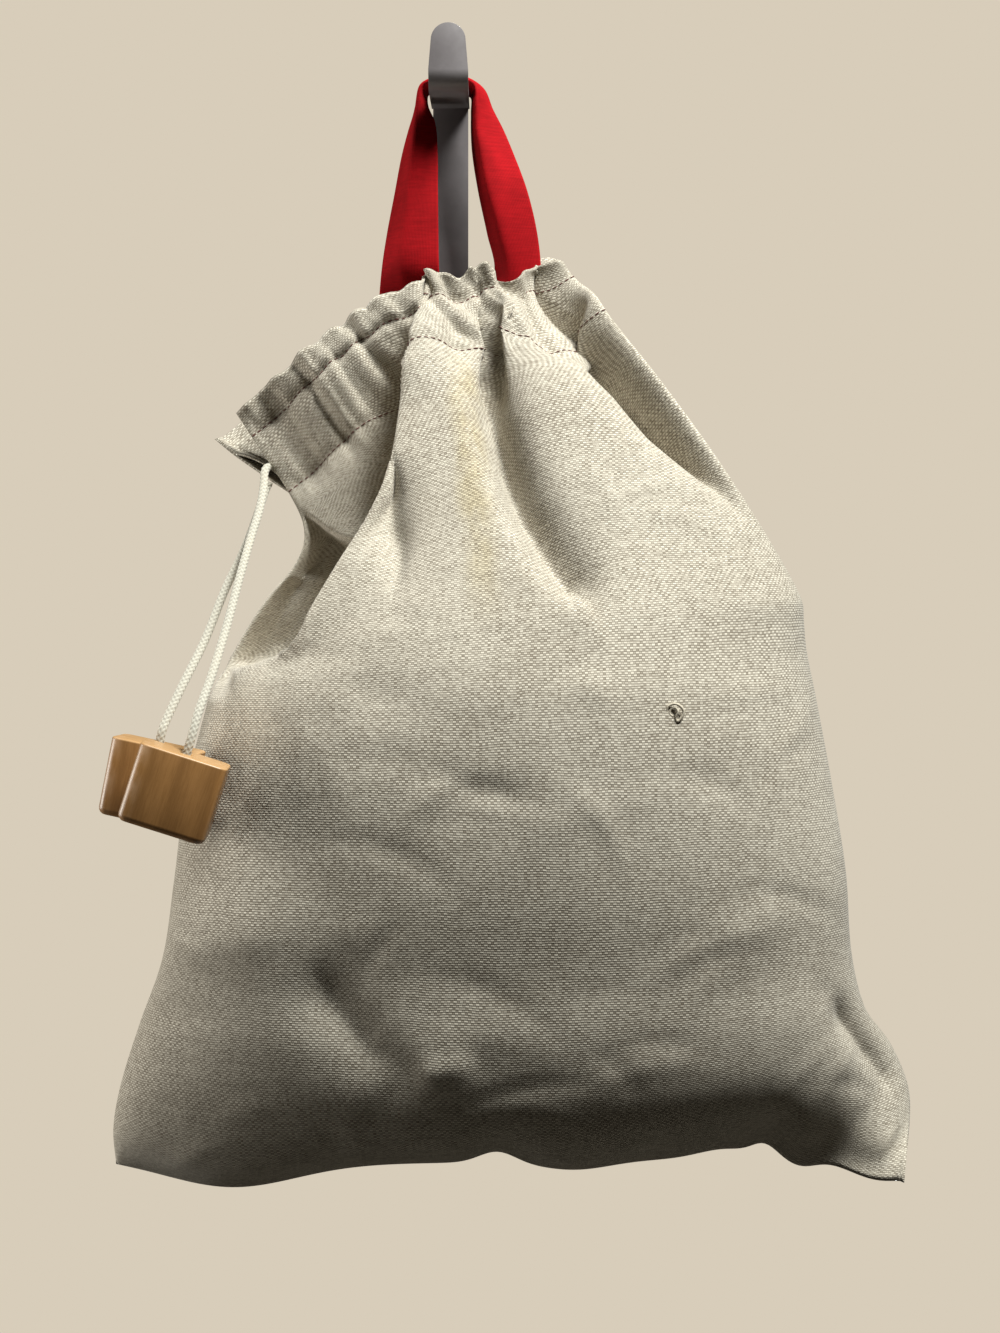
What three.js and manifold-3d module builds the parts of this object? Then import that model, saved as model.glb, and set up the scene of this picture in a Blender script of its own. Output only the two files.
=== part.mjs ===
// A linen drawstring bag, full and round, hung by its red tape loop from a plain wall hook.
// Millimetres, +Z up. The wall is the plane y = 0 and the front of the bag faces -Y.
// The origin is the middle of the hook's back face, where the wall holds it.
import * as THREE from "three";
import { RoundedBoxGeometry } from "three/addons/geometries/RoundedBoxGeometry.js";
import { mergeVertices } from "three/addons/utils/BufferGeometryUtils.js";
import Module from "manifold-3d";

const CLOTH = 1.3; // linen of the body
const CASING_CLOTH = 2.2; // linen turned double at the casing
const HEADING = 9; // frill above the upper row of stitches
const CASING = 36; // mouth edge to the lower row of stitches
const CASING_PUFF = 1.2; // how far the casing swells between its two rows of stitches
const FRILL_FLARE = 3; // how far the frill opens at the mouth edge
const ROUNDNESS = 0.9; // below 1 the sections are fuller than an ellipse
const BACK_ROUNDNESS = 0.55; // the back lies flatter, against the wall

const FRONT_COLUMNS = 52;
const BACK_COLUMNS = 28;
const COLUMNS = FRONT_COLUMNS + BACK_COLUMNS;

const TAPE = 1.3; // cotton tape of the loop
const TAPE_CREASE = 0.15; // share of half the width that the crease rounds off

const CORD_DIAMETER = 3;
const CORD_SIDES = 8;

const BLOCK_WIDTH = 30;
const BLOCK_HEIGHT = 27;
const BLOCK_DEPTH = 18;
const BLOCK_EDGE = 3.2;
const BLOCK_HOLE = 4;
const BLOCK_HOLE_DEPTH = 12;

const STRIP = 3; // steel strip of the hook
const PLATE_WIDTH = 13.5;
const PLATE_HEIGHT = 96;
const PRONG_UNDERSIDE = 24;
const PRONG_REACH = 42;
const PRONG_BEND = 7;
const TONGUE_TOP = 48;
const TONGUE_HALF_WIDTH = 6.4;
const PRONG_HALF_WIDTH = 7.3;
const PRONG_SHOULDER = 31; // where the prong starts to narrow to its tongue
const BLANK_WIDTH = 20; // steel before its outline is cut

// A table of numbers with named columns becomes a list of records.
function table(columns, rows) {
  const names = columns.split(" ");
  return rows.map((row) => Object.fromEntries(names.map((name, i) => [name, row[i]])));
}

// Sections of the bag from its mouth to its bottom seam, one row each.
// down: cloth below the mouth edge at the middle of the front. crown: rise of the middle above the ends.
const SECTIONS = table("down leftX leftY leftZ rightX rightY rightZ frontY backY crown steps", [
  [0, -80, -24, -93, 43, -24, -38, -38, -10, 16, 2],
  [9, -74, -24, -102, 47, -24, -42, -41, -10, 16, 4],
  [36, -60, -27, -123, 58, -40, -58, -52, -9, 14, 3],
  [64, -54, -29, -137, 75, -57, -85, -68, -8, 16, 3],
  [92, -57, -26, -149, 93, -66, -114, -82, -6, 12, 3],
  [122, -70, -20, -165, 113, -63, -140, -95, -5, 7, 3],
  [152, -82, -14, -184, 127, -56, -164, -109, -4, 2, 1],
  [166, -85, -20, -192, 129, -53, -178, -114, -4, 1, 2],
  [185, -88, -40, -204, 132, -51, -196, -119, -4, 0, 2],
  [218, -94, -51, -232, 138, -52, -229, -122, -4, 0, 1],
  [250, -98, -53, -265, 143, -53, -261, -121, -4, 0, 2],
  [280, -102, -54, -292, 145, -54, -290, -117, -5, -2, 2],
  [306, -110, -55, -315, 150, -55, -310, -114, -7, -6, 2],
  [334, -117, -56, -337, 162, -57, -326, -103, -14, -10, 2],
  [356, -120, -56, -353, 167, -63, -342, -84, -31, -8, 3],
  [374, -119, -56, -365, 165, -70, -365, -57.8, -54.2, -1, 0],
]);
const SEAM = SECTIONS[SECTIONS.length - 1].down;

// The front rolls forward along this line, and the flank to the left of it lies back in its shade.
// set_back is the share of the front's bulge that the flank loses.
const RIDGE = table("z x set_back", [
  [-46, -9, 0.2],
  [-65, -10, 0.45],
  [-95, -13, 0.75],
  [-115, -16, 0.85],
  [-134, -23, 0.9],
  [-153, -34, 0.87],
  [-168, -43.5, 0.87],
  [-179, -53, 0.9],
  [-185, -65, 0.9],
  [-189, -79, 0.9],
]);
const ROLL_START = 5.5; // how far right of the line the front starts to turn back
const ROLL_END = -4;
const RIDGE_FOOT = -200;
const RIDGE_FADE = 9;

// On the flank the casing leans out at its upper stitches. down: cloth below the mouth edge.
const FLANK_LEAN = table("down forward", [[0, 8], [9, 14], [36, 6], [64, 1], [92, 0], [SEAM, 0]]);

// Below the casing the flank hangs as a flap, and the cloth under the flap's edge lies deeper still.
const FLAP_EDGE = [[-72, -119], [-66, -123], [-53, -132], [-44, -139.5], [-37, -144], [-30, -152]];
const FLAP_TURN = 3;
const RECESS = 5;

// Gathers that the drawstring pulls up, across the front from -1 at the left to 1 at the right.
const FRONT_GATHERS = table("across depth width reach", [
  [-0.86, 2.4, 4.5, 10],
  [-0.66, 3, 4.5, 14],
  [-0.47, 2.2, 4, 10],
  [-0.32, 2.8, 4.5, 18],
  [0.62, 2, 4, 10],
  [0.84, 2.4, 4.5, 14],
]);
const BACK_GATHERS = table("across depth width reach", [
  [-0.75, 2, 7, 40],
  [-0.45, 2.4, 7, 60],
  [0.78, 1.8, 6, 50],
]);

// Long folds on the front. left/right: widths of the two sides, seen from the front.
// from/to: share of the depth at the two ends of the path, given as x, z pairs. A ridge has a negative depth.
const FOLDS = table("depth left right from to path", [
  [6, 4.5, 4.5, 0.5, 0, [[5, -44], [5, -54], [5, -68], [3, -78], [1, -93], [1, -112]]],
  [17, 7, 13, 0.5, 0.3, [[8, -47], [11, -72], [14, -91], [16, -105], [25, -131], [36, -149], [45, -160]]],
  [25, 8, 22, 0.25, 0.1, [[36, -38], [40, -52], [46, -67], [60, -84], [71, -101], [89, -117], [114, -146]]],
  [-3.5, 7, 7, 0.6, 0, [[-6, -60], [-6, -76], [-7, -96]]],
  [11, 7, 4.5, 0.2, 0, [[-22, -100], [-25, -119], [-31, -136], [-38, -148]]],
  [7, 6, 6, 0.3, 0.1, [[-13, -95], [-14, -115], [-16, -140], [-18, -170]]],
  [4.5, 11, 11, 0.5, 0.5, [[-36, -196], [-8, -200]]],
  [1.7, 7, 5, 0, 0, [[-6, -222], [9, -227], [22, -231], [36, -232]]],
  [4.5, 8, 8, 0, 0, [[-46, -286], [-38, -304], [-25, -320], [-4, -328]]],
  [-2.2, 6, 6, 0, 0, [[-13, -325], [1, -322], [14, -319]]],
  [-2, 8, 8, 0, 0, [[88, -283], [104, -277], [120, -270]]],
  [7, 6, 6, 0.1, 0.3, [[138, -308], [146, -320], [149, -336], [147, -362]]],
  [-10, 9, 9, 0.7, 0.9, [[156, -360], [161, -370]]],
]);

// The mouth, the casing's lower stitches and the bottom run in uneven lobes.
// level and reach: distance below the mouth edge. rise: height above the even line.
const LOBES = table("level reach x rise width", [
  [0, 13, -3, 2.6, 5],
  [0, 13, 4.5, -3.6, 4],
  [0, 13, 15, 1.8, 5],
  [0, 13, 23.4, -3.2, 3.5],
  [0, 13, 34, 5, 6],
  [CASING, 15, -3, 8, 8],
  [CASING, 15, 20, 4, 4.5],
  [CASING, 15, 36, -6, 8],
  [CASING, 15, 52, 3, 5],
  [SEAM, 30, -77, -8.5, 32],
  [SEAM, 30, 18, 4, 9],
  [SEAM, 30, 46, -3, 18],
  [SEAM, 30, 114, 6, 10],
  [SEAM, 30, 155, -6, 10],
]);

// The left side seam stops at the casing, and the back end of the casing stands off behind the front one.
const SPLIT = new THREE.Vector3(-9, 7, -9);

// The tape loop from its left end to its right end, both sewn inside the back of the casing.
// It is folded along its middle: each row gives its outer edge, its crease and its inner edge.
const TAPE_ROWS = table("outer crease inner", [
  [[-27, -13, -76], [-15, -12.7, -76], [-3, -12.6, -76]],
  [[-26.9, -13.5, -50], [-16, -15.2, -50], [-3.3, -15.2, -50]],
  [[-25.5, -17, -38], [-18, -22.5, -38], [-4, -21.5, -38]],
  [[-23.5, -15, -24], [-17, -24, -24], [-4.2, -22.5, -24]],
  [[-20.8, -13, -9], [-15.6, -24.5, -9], [-4.4, -22.5, -9]],
  [[-18, -12.5, 6], [-14.4, -25.5, 6], [-4.6, -22.5, 6]],
  [[-15.4, -12.5, 16], [-13.2, -26.5, 16], [-5.6, -22, 16]],
  [[-13.2, -12.5, 23], [-12, -27, 23], [-8.4, -20, 23]],
  [[-11.6, -12.5, 30], [-10.6, -27.5, 29.5], [-8.3, -19, 27.6]],
  [[-6, -12.5, 35], [-5.5, -28, 32], [-5, -18, 28.4]],
  [[0, -13, 36], [0, -28.5, 33], [0, -17, 28.4]],
  [[6.5, -15, 35], [5, -28, 32], [5, -16, 28.4]],
  [[12.6, -18, 30], [9.4, -27.5, 29.5], [8.3, -15.5, 27.6]],
  [[16, -19, 22], [9.8, -27.5, 22], [8.4, -15.5, 22]],
  [[20, -20, 14], [9.7, -27, 14], [8.4, -16, 14]],
  [[23.4, -20.5, 6], [11, -27, 6], [8.9, -16, 6]],
  [[29, -21, -9], [14, -26.5, -9], [11.2, -18, -9]],
  [[32.7, -20, -24], [18.2, -24, -24], [14.4, -17, -24]],
  [[34.4, -19.5, -38], [21.5, -21, -38], [17.2, -14, -38]],
  [[34.4, -19, -50], [22.4, -18, -50], [11.5, -15.5, -50]],
  [[35, -16.2, -76], [23, -13.8, -76], [11, -12.6, -76]],
]);

// The two tails of the drawstring, from the open ends of the casing into the blocks.
const FRONT_TAIL = [
  [-68.2, -25, -113.6], [-68.9, -26.9, -115.4], [-68.9, -30.5, -121], [-69.5, -38, -130],
  [-71.3, -47, -140], [-73.8, -62, -156], [-76.4, -78, -174], [-79.6, -95, -192],
  [-82.4, -106, -204], [-84.2, -109.7, -212.5], [-87.2, -109.3, -221.8],
];
const BACK_TAIL = [
  [-67.5, -23.7, -118.8], [-68.5, -23.7, -120.9], [-70.2, -26.4, -127], [-74.8, -39, -144.5],
  [-80.5, -51, -160.3], [-85.9, -64, -178.6], [-92.4, -79, -196.2], [-96.2, -87, -207],
  [-97.2, -89, -210.6], [-99, -88.5, -219.4],
];
const TAIL_IN_BLOCK = 5;

// Each block hangs a little aslant, in line with the end of its tail. turn: about its own tail.
const BLOCKS = table("name tail hangX hangY hangZ turn", [
  ["block_front", FRONT_TAIL, -0.31, 0.04, -0.95, 0.04],
  ["block_back", BACK_TAIL, -0.2, 0.05, -0.978, -0.1],
]);

const wasm = await Module();
wasm.setup();

// A closed geometry as a solid that can be joined and cut.
function solid(geometry) {
  const plain = new THREE.BufferGeometry();
  const loose = geometry.index ? geometry.toNonIndexed() : geometry;
  plain.setAttribute("position", loose.getAttribute("position"));
  const merged = mergeVertices(plain, 1e-4);
  const mesh = new wasm.Mesh({
    numProp: 3,
    vertProperties: merged.attributes.position.array,
    triVerts: new Uint32Array(merged.index.array),
  });
  return new wasm.Manifold(mesh);
}

function geometryOf(made) {
  const mesh = made.getMesh();
  const geometry = new THREE.BufferGeometry();
  geometry.setAttribute("position", new THREE.BufferAttribute(mesh.vertProperties, 3));
  geometry.setIndex(new THREE.BufferAttribute(mesh.triVerts, 1));
  geometry.computeVertexNormals();
  return geometry;
}

function material(color, roughness, metalness) {
  return new THREE.MeshStandardMaterial({ color, roughness, metalness });
}

function named(name, geometry, look) {
  const mesh = new THREE.Mesh(geometry, look);
  mesh.name = name;
  return mesh;
}

function smoothstep(from, to, value) {
  const t = Math.min(1, Math.max(0, (value - from) / (to - from)));
  return t * t * (3 - 2 * t);
}

function bell(distance, width) {
  return Math.exp(-((distance / width) ** 2));
}

// A smooth curve through one column of a table, read at a value of its key column.
function along(rows, key, column, value) {
  const rising = rows[rows.length - 1][key] > rows[0][key] ? 1 : -1;
  let i = 0;
  while (i < rows.length - 2 && rising * (value - rows[i + 1][key]) > 0) i += 1;
  const slope = (k) => {
    const before = rows[Math.max(0, k - 1)];
    const after = rows[Math.min(rows.length - 1, k + 1)];
    return (after[column] - before[column]) / (after[key] - before[key]);
  };
  const step = rows[i + 1][key] - rows[i][key];
  const t = Math.min(1, Math.max(0, (value - rows[i][key]) / step));
  const start = rows[i][column];
  const end = rows[i + 1][column];
  const a = slope(i) * step;
  const b = slope(i + 1) * step;
  return start + t * (a + t * (3 * (end - start) - 2 * a - b + t * (2 * (start - end) + a + b)));
}

function sectionAt(down) {
  const at = { down };
  for (const name of Object.keys(SECTIONS[0])) {
    if (name !== "down" && name !== "steps") at[name] = along(SECTIONS, "down", name, down);
  }
  at.middle = (at.leftX + at.rightX) / 2;
  at.half = (at.rightX - at.leftX) / 2;
  return at;
}

// Columns run across from -1 to 1, closer together towards the two sides.
function across(share) {
  return -0.5 * (Math.cos(Math.PI * share) + 1 - 2 * share);
}

// The line of one section before any depth is given to it.
function sectionLine(at, place) {
  const x = at.middle + at.half * place;
  let z = at.leftZ + ((at.rightZ - at.leftZ) * (place + 1)) / 2;
  z += at.crown * Math.cos((place * Math.PI) / 2);
  for (const lobe of LOBES) {
    z += lobe.rise * bell(at.down - lobe.level, lobe.reach) * bell(x - lobe.x, lobe.width);
  }
  const point = new THREE.Vector3(x, 0, z);
  const underFlap = smoothstep(FLAP_TURN, -FLAP_TURN, toPath(FLAP_EDGE, x, z).distance);
  point.y = at.rightY + (at.leftY - at.rightY) * ((1 - place) / 2) ** 2;
  point.y += RECESS * behindRidge(point) * underFlap;
  return point;
}

// 1 on the flank that lies back to the left of the ridge, 0 on the round front.
function behindRidge(point) {
  const past = point.x - along(RIDGE, "z", "x", point.z);
  return smoothstep(ROLL_START, ROLL_END, past) * smoothstep(RIDGE_FOOT, RIDGE_FOOT + RIDGE_FADE, point.z);
}

function frontBase(share, down) {
  const at = sectionAt(down);
  const place = across(share);
  const point = sectionLine(at, place);
  const bulge = Math.pow(Math.max(0, 1 - place * place), ROUNDNESS / 2);
  const setBack = along(RIDGE, "z", "set_back", point.z) * behindRidge(point);
  point.y += (at.frontY - point.y) * bulge * (1 - setBack);
  point.y -= along(FLANK_LEAN, "down", "forward", down) * behindRidge(point) * smoothstep(-1, -0.5, place);
  return point;
}

function backBase(share, down) {
  const at = sectionAt(down);
  const place = across(share);
  const point = sectionLine(at, place);
  const bulge = Math.pow(Math.max(0, 1 - place * place), BACK_ROUNDNESS / 2);
  point.y += (at.backY - point.y) * bulge;
  const apart = Math.max(0, 1 - down / CASING) * Math.pow((1 - place) / 2, 4);
  return point.addScaledVector(SPLIT, apart);
}

// Distance from a place on the front to a path, positive at its right, and the share of the path there.
function toPath(path, x, z) {
  const nearest = { distance: Infinity, share: 0 };
  for (let i = 0; i < path.length - 1; i += 1) {
    const [ax, az] = path[i];
    const [bx, bz] = path[i + 1];
    const length2 = (bx - ax) ** 2 + (bz - az) ** 2;
    const t = Math.min(1, Math.max(0, ((x - ax) * (bx - ax) + (z - az) * (bz - az)) / length2));
    const distance = Math.hypot(x - ax - t * (bx - ax), z - az - t * (bz - az));
    if (distance < Math.abs(nearest.distance)) {
      const side = Math.sign((z - az) * (bx - ax) - (x - ax) * (bz - az));
      nearest.distance = side * distance;
      nearest.share = (i + t) / (path.length - 1);
    }
  }
  return nearest;
}

function foldRelief(point) {
  let relief = 0;
  for (const fold of FOLDS) {
    const near = toPath(fold.path, point.x, point.z);
    const start = fold.from + (1 - fold.from) * smoothstep(0, 0.35, near.share);
    const end = fold.to + (1 - fold.to) * smoothstep(1, 0.55, near.share);
    const width = near.distance < 0 ? fold.left : fold.right;
    relief -= fold.depth * Math.min(start, end) * bell(near.distance, width);
  }
  return relief;
}

function gatherRelief(gathers, place, at) {
  let relief = 0;
  for (const gather of gathers) {
    const fade = at.down < CASING ? 1 : bell(at.down - CASING, gather.reach);
    relief -= gather.depth * fade * bell((place - gather.across) * at.half, gather.width);
  }
  return relief;
}

// The cord fills the casing between its two rows of stitches, and the frill above them flares.
function casingRelief(down) {
  if (down < HEADING) return FRILL_FLARE * (1 - down / HEADING) ** 1.3;
  if (down > CASING) return 0;
  return CASING_PUFF * Math.sin((Math.PI * (down - HEADING)) / (CASING - HEADING));
}

// A point of the outer face: its base, moved out along the base's own normal by the folds.
function outerPoint(base, share, down, relief) {
  const STEP = 2e-3;
  const point = base(share, down);
  const right = base(Math.min(1, share + STEP), down).sub(base(Math.max(0, share - STEP), down));
  const below = base(share, Math.min(SEAM, down + 1)).sub(base(share, Math.max(0, down - 1)));
  const normal = base === frontBase ? below.cross(right) : right.cross(below);
  normal.normalize();
  const facing = base === frontBase ? Math.min(1, Math.max(0, -1.5 * normal.y)) : 1;
  return point.addScaledVector(normal, relief * facing);
}

function frontPoint(share, down) {
  const at = sectionAt(down);
  const place = across(share);
  const folds = foldRelief(sectionLine(at, place));
  const relief = gatherRelief(FRONT_GATHERS, place, at) + folds + casingRelief(down);
  const toSide = smoothstep(0, 0.06, share) * smoothstep(1, 0.94, share);
  const toSeam = smoothstep(0, 16, SEAM - down);
  return outerPoint(frontBase, share, down, relief * toSide * toSeam);
}

function backPoint(share, down) {
  const at = sectionAt(down);
  const place = across(share);
  const relief = gatherRelief(BACK_GATHERS, place, at) + casingRelief(down);
  const toSide = smoothstep(0, 0.06, share) * smoothstep(1, 0.94, share);
  return outerPoint(backBase, share, down, relief * toSide);
}

// The rows of the bag's faces, as cloth below the mouth edge.
function rowList() {
  const rows = [];
  SECTIONS.forEach((section, i) => {
    for (let k = 0; k < section.steps; k += 1) {
      rows.push(section.down + ((SECTIONS[i + 1].down - section.down) * k) / section.steps);
    }
  });
  rows.push(SEAM);
  return rows;
}

// Two lines from left to right become a strip of triangles, where the first has its own number of points.
function zip(first, second, add) {
  let i = 0;
  let k = 0;
  while (i < first.length - 1 || k < second.length - 1) {
    const nextFirst = (i + 1) / (first.length - 1);
    const nextSecond = (k + 1) / (second.length - 1);
    if (k === second.length - 1 || (i < first.length - 1 && nextFirst <= nextSecond)) {
      add(first[i + 1], first[i], second[k]);
      i += 1;
    } else {
      add(second[k], second[k + 1], first[i]);
      k += 1;
    }
  }
}

// The bag is one closed shell: outer face, inner face, rim of the mouth, two casing ends and the bottom seam.
function bagGeometry() {
  const rows = rowList();
  const splitRow = rows.indexOf(CASING);
  const outer = [];
  for (const down of rows) {
    for (let c = 0; c <= COLUMNS; c += 1) {
      const onFront = c <= FRONT_COLUMNS;
      const share = onFront ? c / FRONT_COLUMNS : (COLUMNS - c) / BACK_COLUMNS;
      outer.push(onFront ? frontPoint(share, down) : backPoint(share, down));
    }
  }
  const indexAt = (row, column) => {
    const closed = row >= splitRow && column === COLUMNS;
    return row * (COLUMNS + 1) + (closed ? 0 : column);
  };

  const faces = [];
  const addTo = (list) => (a, b, c) => {
    if (a !== b && b !== c && a !== c) list.push([a, b, c]);
  };
  const addOuter = addTo(faces);
  for (let r = 0; r < rows.length - 1; r += 1) {
    for (let c = 0; c < COLUMNS; c += 1) {
      addOuter(indexAt(r, c), indexAt(r + 1, c), indexAt(r + 1, c + 1));
      addOuter(indexAt(r, c), indexAt(r + 1, c + 1), indexAt(r, c + 1));
    }
  }
  const normals = outer.map(() => new THREE.Vector3());
  for (const [a, b, c] of faces) {
    const edge = outer[b].clone().sub(outer[a]);
    const normal = edge.cross(outer[c].clone().sub(outer[a]));
    for (const corner of [a, b, c]) normals[corner].add(normal);
  }
  const inner = outer.map((point, i) => {
    const down = rows[Math.floor(i / (COLUMNS + 1))];
    const thickness = CASING_CLOTH + (CLOTH - CASING_CLOTH) * smoothstep(CASING - 2, CASING + 5, down);
    return point.clone().addScaledVector(normals[i].normalize(), -thickness);
  });

  const shift = outer.length;
  const lastInner = rows.length - 2;
  for (let r = 0; r < lastInner; r += 1) {
    for (let c = 0; c < COLUMNS; c += 1) {
      addOuter(shift + indexAt(r, c), shift + indexAt(r + 1, c + 1), shift + indexAt(r + 1, c));
      addOuter(shift + indexAt(r, c), shift + indexAt(r, c + 1), shift + indexAt(r + 1, c + 1));
    }
  }
  for (let c = 0; c < COLUMNS; c += 1) {
    const a = indexAt(0, c);
    const b = indexAt(0, c + 1);
    addOuter(a, b, shift + b);
    addOuter(a, shift + b, shift + a);
  }
  for (let r = 0; r < splitRow; r += 1) {
    const a = indexAt(r, 0);
    const d = indexAt(r + 1, 0);
    addOuter(d, a, shift + a);
    addOuter(d, shift + a, shift + d);
    const b = indexAt(r, COLUMNS);
    const e = indexAt(r + 1, COLUMNS);
    addOuter(b, e, shift + e);
    addOuter(b, shift + e, shift + b);
  }
  const lineOf = (row, from, to, offset) => {
    const step = Math.sign(to - from);
    const count = Math.abs(to - from) + 1;
    return Array.from({ length: count }, (_, k) => offset + indexAt(row, from + step * k));
  };
  const seamRow = rows.length - 1;
  zip(lineOf(seamRow, 0, FRONT_COLUMNS, 0), lineOf(seamRow, COLUMNS, FRONT_COLUMNS, 0), addOuter);
  const innerFront = lineOf(lastInner, 0, FRONT_COLUMNS, shift);
  const innerBack = lineOf(lastInner, COLUMNS, FRONT_COLUMNS, shift);
  zip(innerFront, innerBack, (a, b, c) => addOuter(a, c, b));

  const geometry = new THREE.BufferGeometry().setFromPoints([...outer, ...inner]);
  geometry.setIndex(faces.flat());
  return mergeVertices(geometry, 1e-4);
}

// The tape is one strip, folded along its middle and squeezed together over the prong.
function tapeGeometry() {
  const LENGTHWISE = 60;
  const WIDTHWISE = 8;
  const line = (name) => new THREE.CatmullRomCurve3(TAPE_ROWS.map((row) => new THREE.Vector3(...row[name])));
  const outer = line("outer");
  const crease = line("crease");
  const inner = line("inner");
  const middle = (i, k) => {
    const share = Math.min(1, Math.max(0, i / LENGTHWISE));
    const out = Math.min(1, Math.max(-1, (2 * k) / WIDTHWISE - 1));
    const toOuter = (Math.hypot(out, TAPE_CREASE) - out) / 2;
    const toInner = (Math.hypot(out, TAPE_CREASE) + out) / 2;
    const point = crease.getPoint(share).multiplyScalar(1 - toOuter - toInner);
    point.addScaledVector(outer.getPoint(share), toOuter);
    return point.addScaledVector(inner.getPoint(share), toInner);
  };
  const points = [];
  for (const side of [0.5, -0.5]) {
    for (let i = 0; i <= LENGTHWISE; i += 1) {
      for (let k = 0; k <= WIDTHWISE; k += 1) {
        const lengthwise = middle(i + 0.5, k).sub(middle(i - 0.5, k));
        const widthwise = middle(i, k + 0.5).sub(middle(i, k - 0.5));
        const normal = widthwise.cross(lengthwise).normalize();
        points.push(middle(i, k).addScaledVector(normal, side * TAPE));
      }
    }
  }
  const width = WIDTHWISE + 1;
  const shift = width * (LENGTHWISE + 1);
  const faces = [];
  const quad = (a, b, c, d) => faces.push([a, c, b], [a, d, c]);
  for (let i = 0; i < LENGTHWISE; i += 1) {
    for (let k = 0; k < WIDTHWISE; k += 1) {
      const a = i * width + k;
      quad(a, a + width, a + width + 1, a + 1);
      quad(shift + a, shift + a + 1, shift + a + width + 1, shift + a + width);
    }
    const low = i * width;
    quad(low, shift + low, shift + low + width, low + width);
    const high = low + WIDTHWISE;
    quad(high, high + width, shift + high + width, shift + high);
  }
  for (let k = 0; k < WIDTHWISE; k += 1) {
    quad(k, k + 1, shift + k + 1, shift + k);
    const last = LENGTHWISE * width + k;
    quad(last, shift + last, shift + last + 1, last + 1);
  }
  const geometry = new THREE.BufferGeometry().setFromPoints(points);
  geometry.setIndex(faces.flat());
  return geometry;
}

function cordGeometry(points) {
  const route = new THREE.CatmullRomCurve3(points.map((point) => new THREE.Vector3(...point)));
  const ring = [];
  for (let i = 0; i < CORD_SIDES; i += 1) {
    const angle = (2 * Math.PI * i) / CORD_SIDES;
    ring.push(new THREE.Vector2(Math.cos(angle), Math.sin(angle)).multiplyScalar(CORD_DIAMETER / 2));
  }
  const steps = Math.round(route.getLength() / (2.2 * CORD_DIAMETER));
  return new THREE.ExtrudeGeometry(new THREE.Shape(ring), { steps, extrudePath: route, bevelEnabled: false });
}

// A drilled block on the end of its tail.
function blockGeometry(block) {
  const end = new THREE.Vector3(...block.tail[block.tail.length - 1]);
  const up = new THREE.Vector3(block.hangX, block.hangY, block.hangZ).normalize().negate();
  const sideways = new THREE.Vector3(Math.cos(block.turn), Math.sin(block.turn), 0);
  sideways.addScaledVector(up, -sideways.dot(up)).normalize();
  const place = new THREE.Matrix4().makeBasis(sideways, up.clone().cross(sideways), up);
  place.setPosition(end.addScaledVector(up, TAIL_IN_BLOCK - BLOCK_HEIGHT / 2));

  const body = new RoundedBoxGeometry(BLOCK_WIDTH, BLOCK_DEPTH, BLOCK_HEIGHT, 3, BLOCK_EDGE);
  const drill = new THREE.CylinderGeometry(BLOCK_HOLE / 2, BLOCK_HOLE / 2, 2 * BLOCK_HOLE_DEPTH, 16);
  drill.rotateX(Math.PI / 2);
  drill.translate(0, 0, BLOCK_HEIGHT / 2);
  return geometryOf(solid(body).subtract(solid(drill))).applyMatrix4(place);
}

// The hook: a strip flat on the wall, and a prong that comes forward and bends up to a rounded tongue.
function hookGeometry() {
  const cutTo = (depth) => ({ depth, bevelEnabled: false, curveSegments: 10 });
  const plateShape = new THREE.Shape();
  const straight = (PLATE_HEIGHT - PLATE_WIDTH) / 2;
  plateShape.absarc(0, straight, PLATE_WIDTH / 2, 0, Math.PI);
  plateShape.absarc(0, -straight, PLATE_WIDTH / 2, Math.PI, 2 * Math.PI);
  const plate = new THREE.ExtrudeGeometry(plateShape, cutTo(STRIP));
  plate.rotateX(Math.PI / 2);

  const bendY = PRONG_REACH - PRONG_BEND;
  const bendZ = PRONG_UNDERSIDE + PRONG_BEND;
  const prongShape = new THREE.Shape();
  prongShape.moveTo(STRIP / 2, PRONG_UNDERSIDE);
  prongShape.absarc(bendY, bendZ, PRONG_BEND, -Math.PI / 2, 0, false);
  prongShape.lineTo(PRONG_REACH, TONGUE_TOP);
  prongShape.lineTo(PRONG_REACH - STRIP, TONGUE_TOP);
  prongShape.absarc(bendY, bendZ, PRONG_BEND - STRIP, 0, -Math.PI / 2, true);
  prongShape.lineTo(STRIP / 2, PRONG_UNDERSIDE + STRIP);
  const prong = new THREE.ExtrudeGeometry(prongShape, cutTo(BLANK_WIDTH));
  prong.translate(0, 0, -BLANK_WIDTH / 2);
  prong.applyMatrix4(new THREE.Matrix4().set(0, 0, -1, 0, -1, 0, 0, 0, 0, 1, 0, 0, 0, 0, 0, 1));

  const frontShape = new THREE.Shape();
  frontShape.moveTo(-PRONG_HALF_WIDTH, PRONG_UNDERSIDE - 1);
  frontShape.lineTo(PRONG_HALF_WIDTH, PRONG_UNDERSIDE - 1);
  frontShape.lineTo(PRONG_HALF_WIDTH, PRONG_SHOULDER);
  frontShape.absarc(0, TONGUE_TOP - TONGUE_HALF_WIDTH, TONGUE_HALF_WIDTH, 0, Math.PI);
  frontShape.lineTo(-PRONG_HALF_WIDTH, PRONG_SHOULDER);
  const outline = new THREE.ExtrudeGeometry(frontShape, cutTo(2 * PRONG_REACH));
  outline.rotateX(Math.PI / 2);
  outline.translate(0, PRONG_REACH / 2, 0);
  return geometryOf(solid(prong).intersect(solid(outline)).add(solid(plate)));
}

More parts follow.
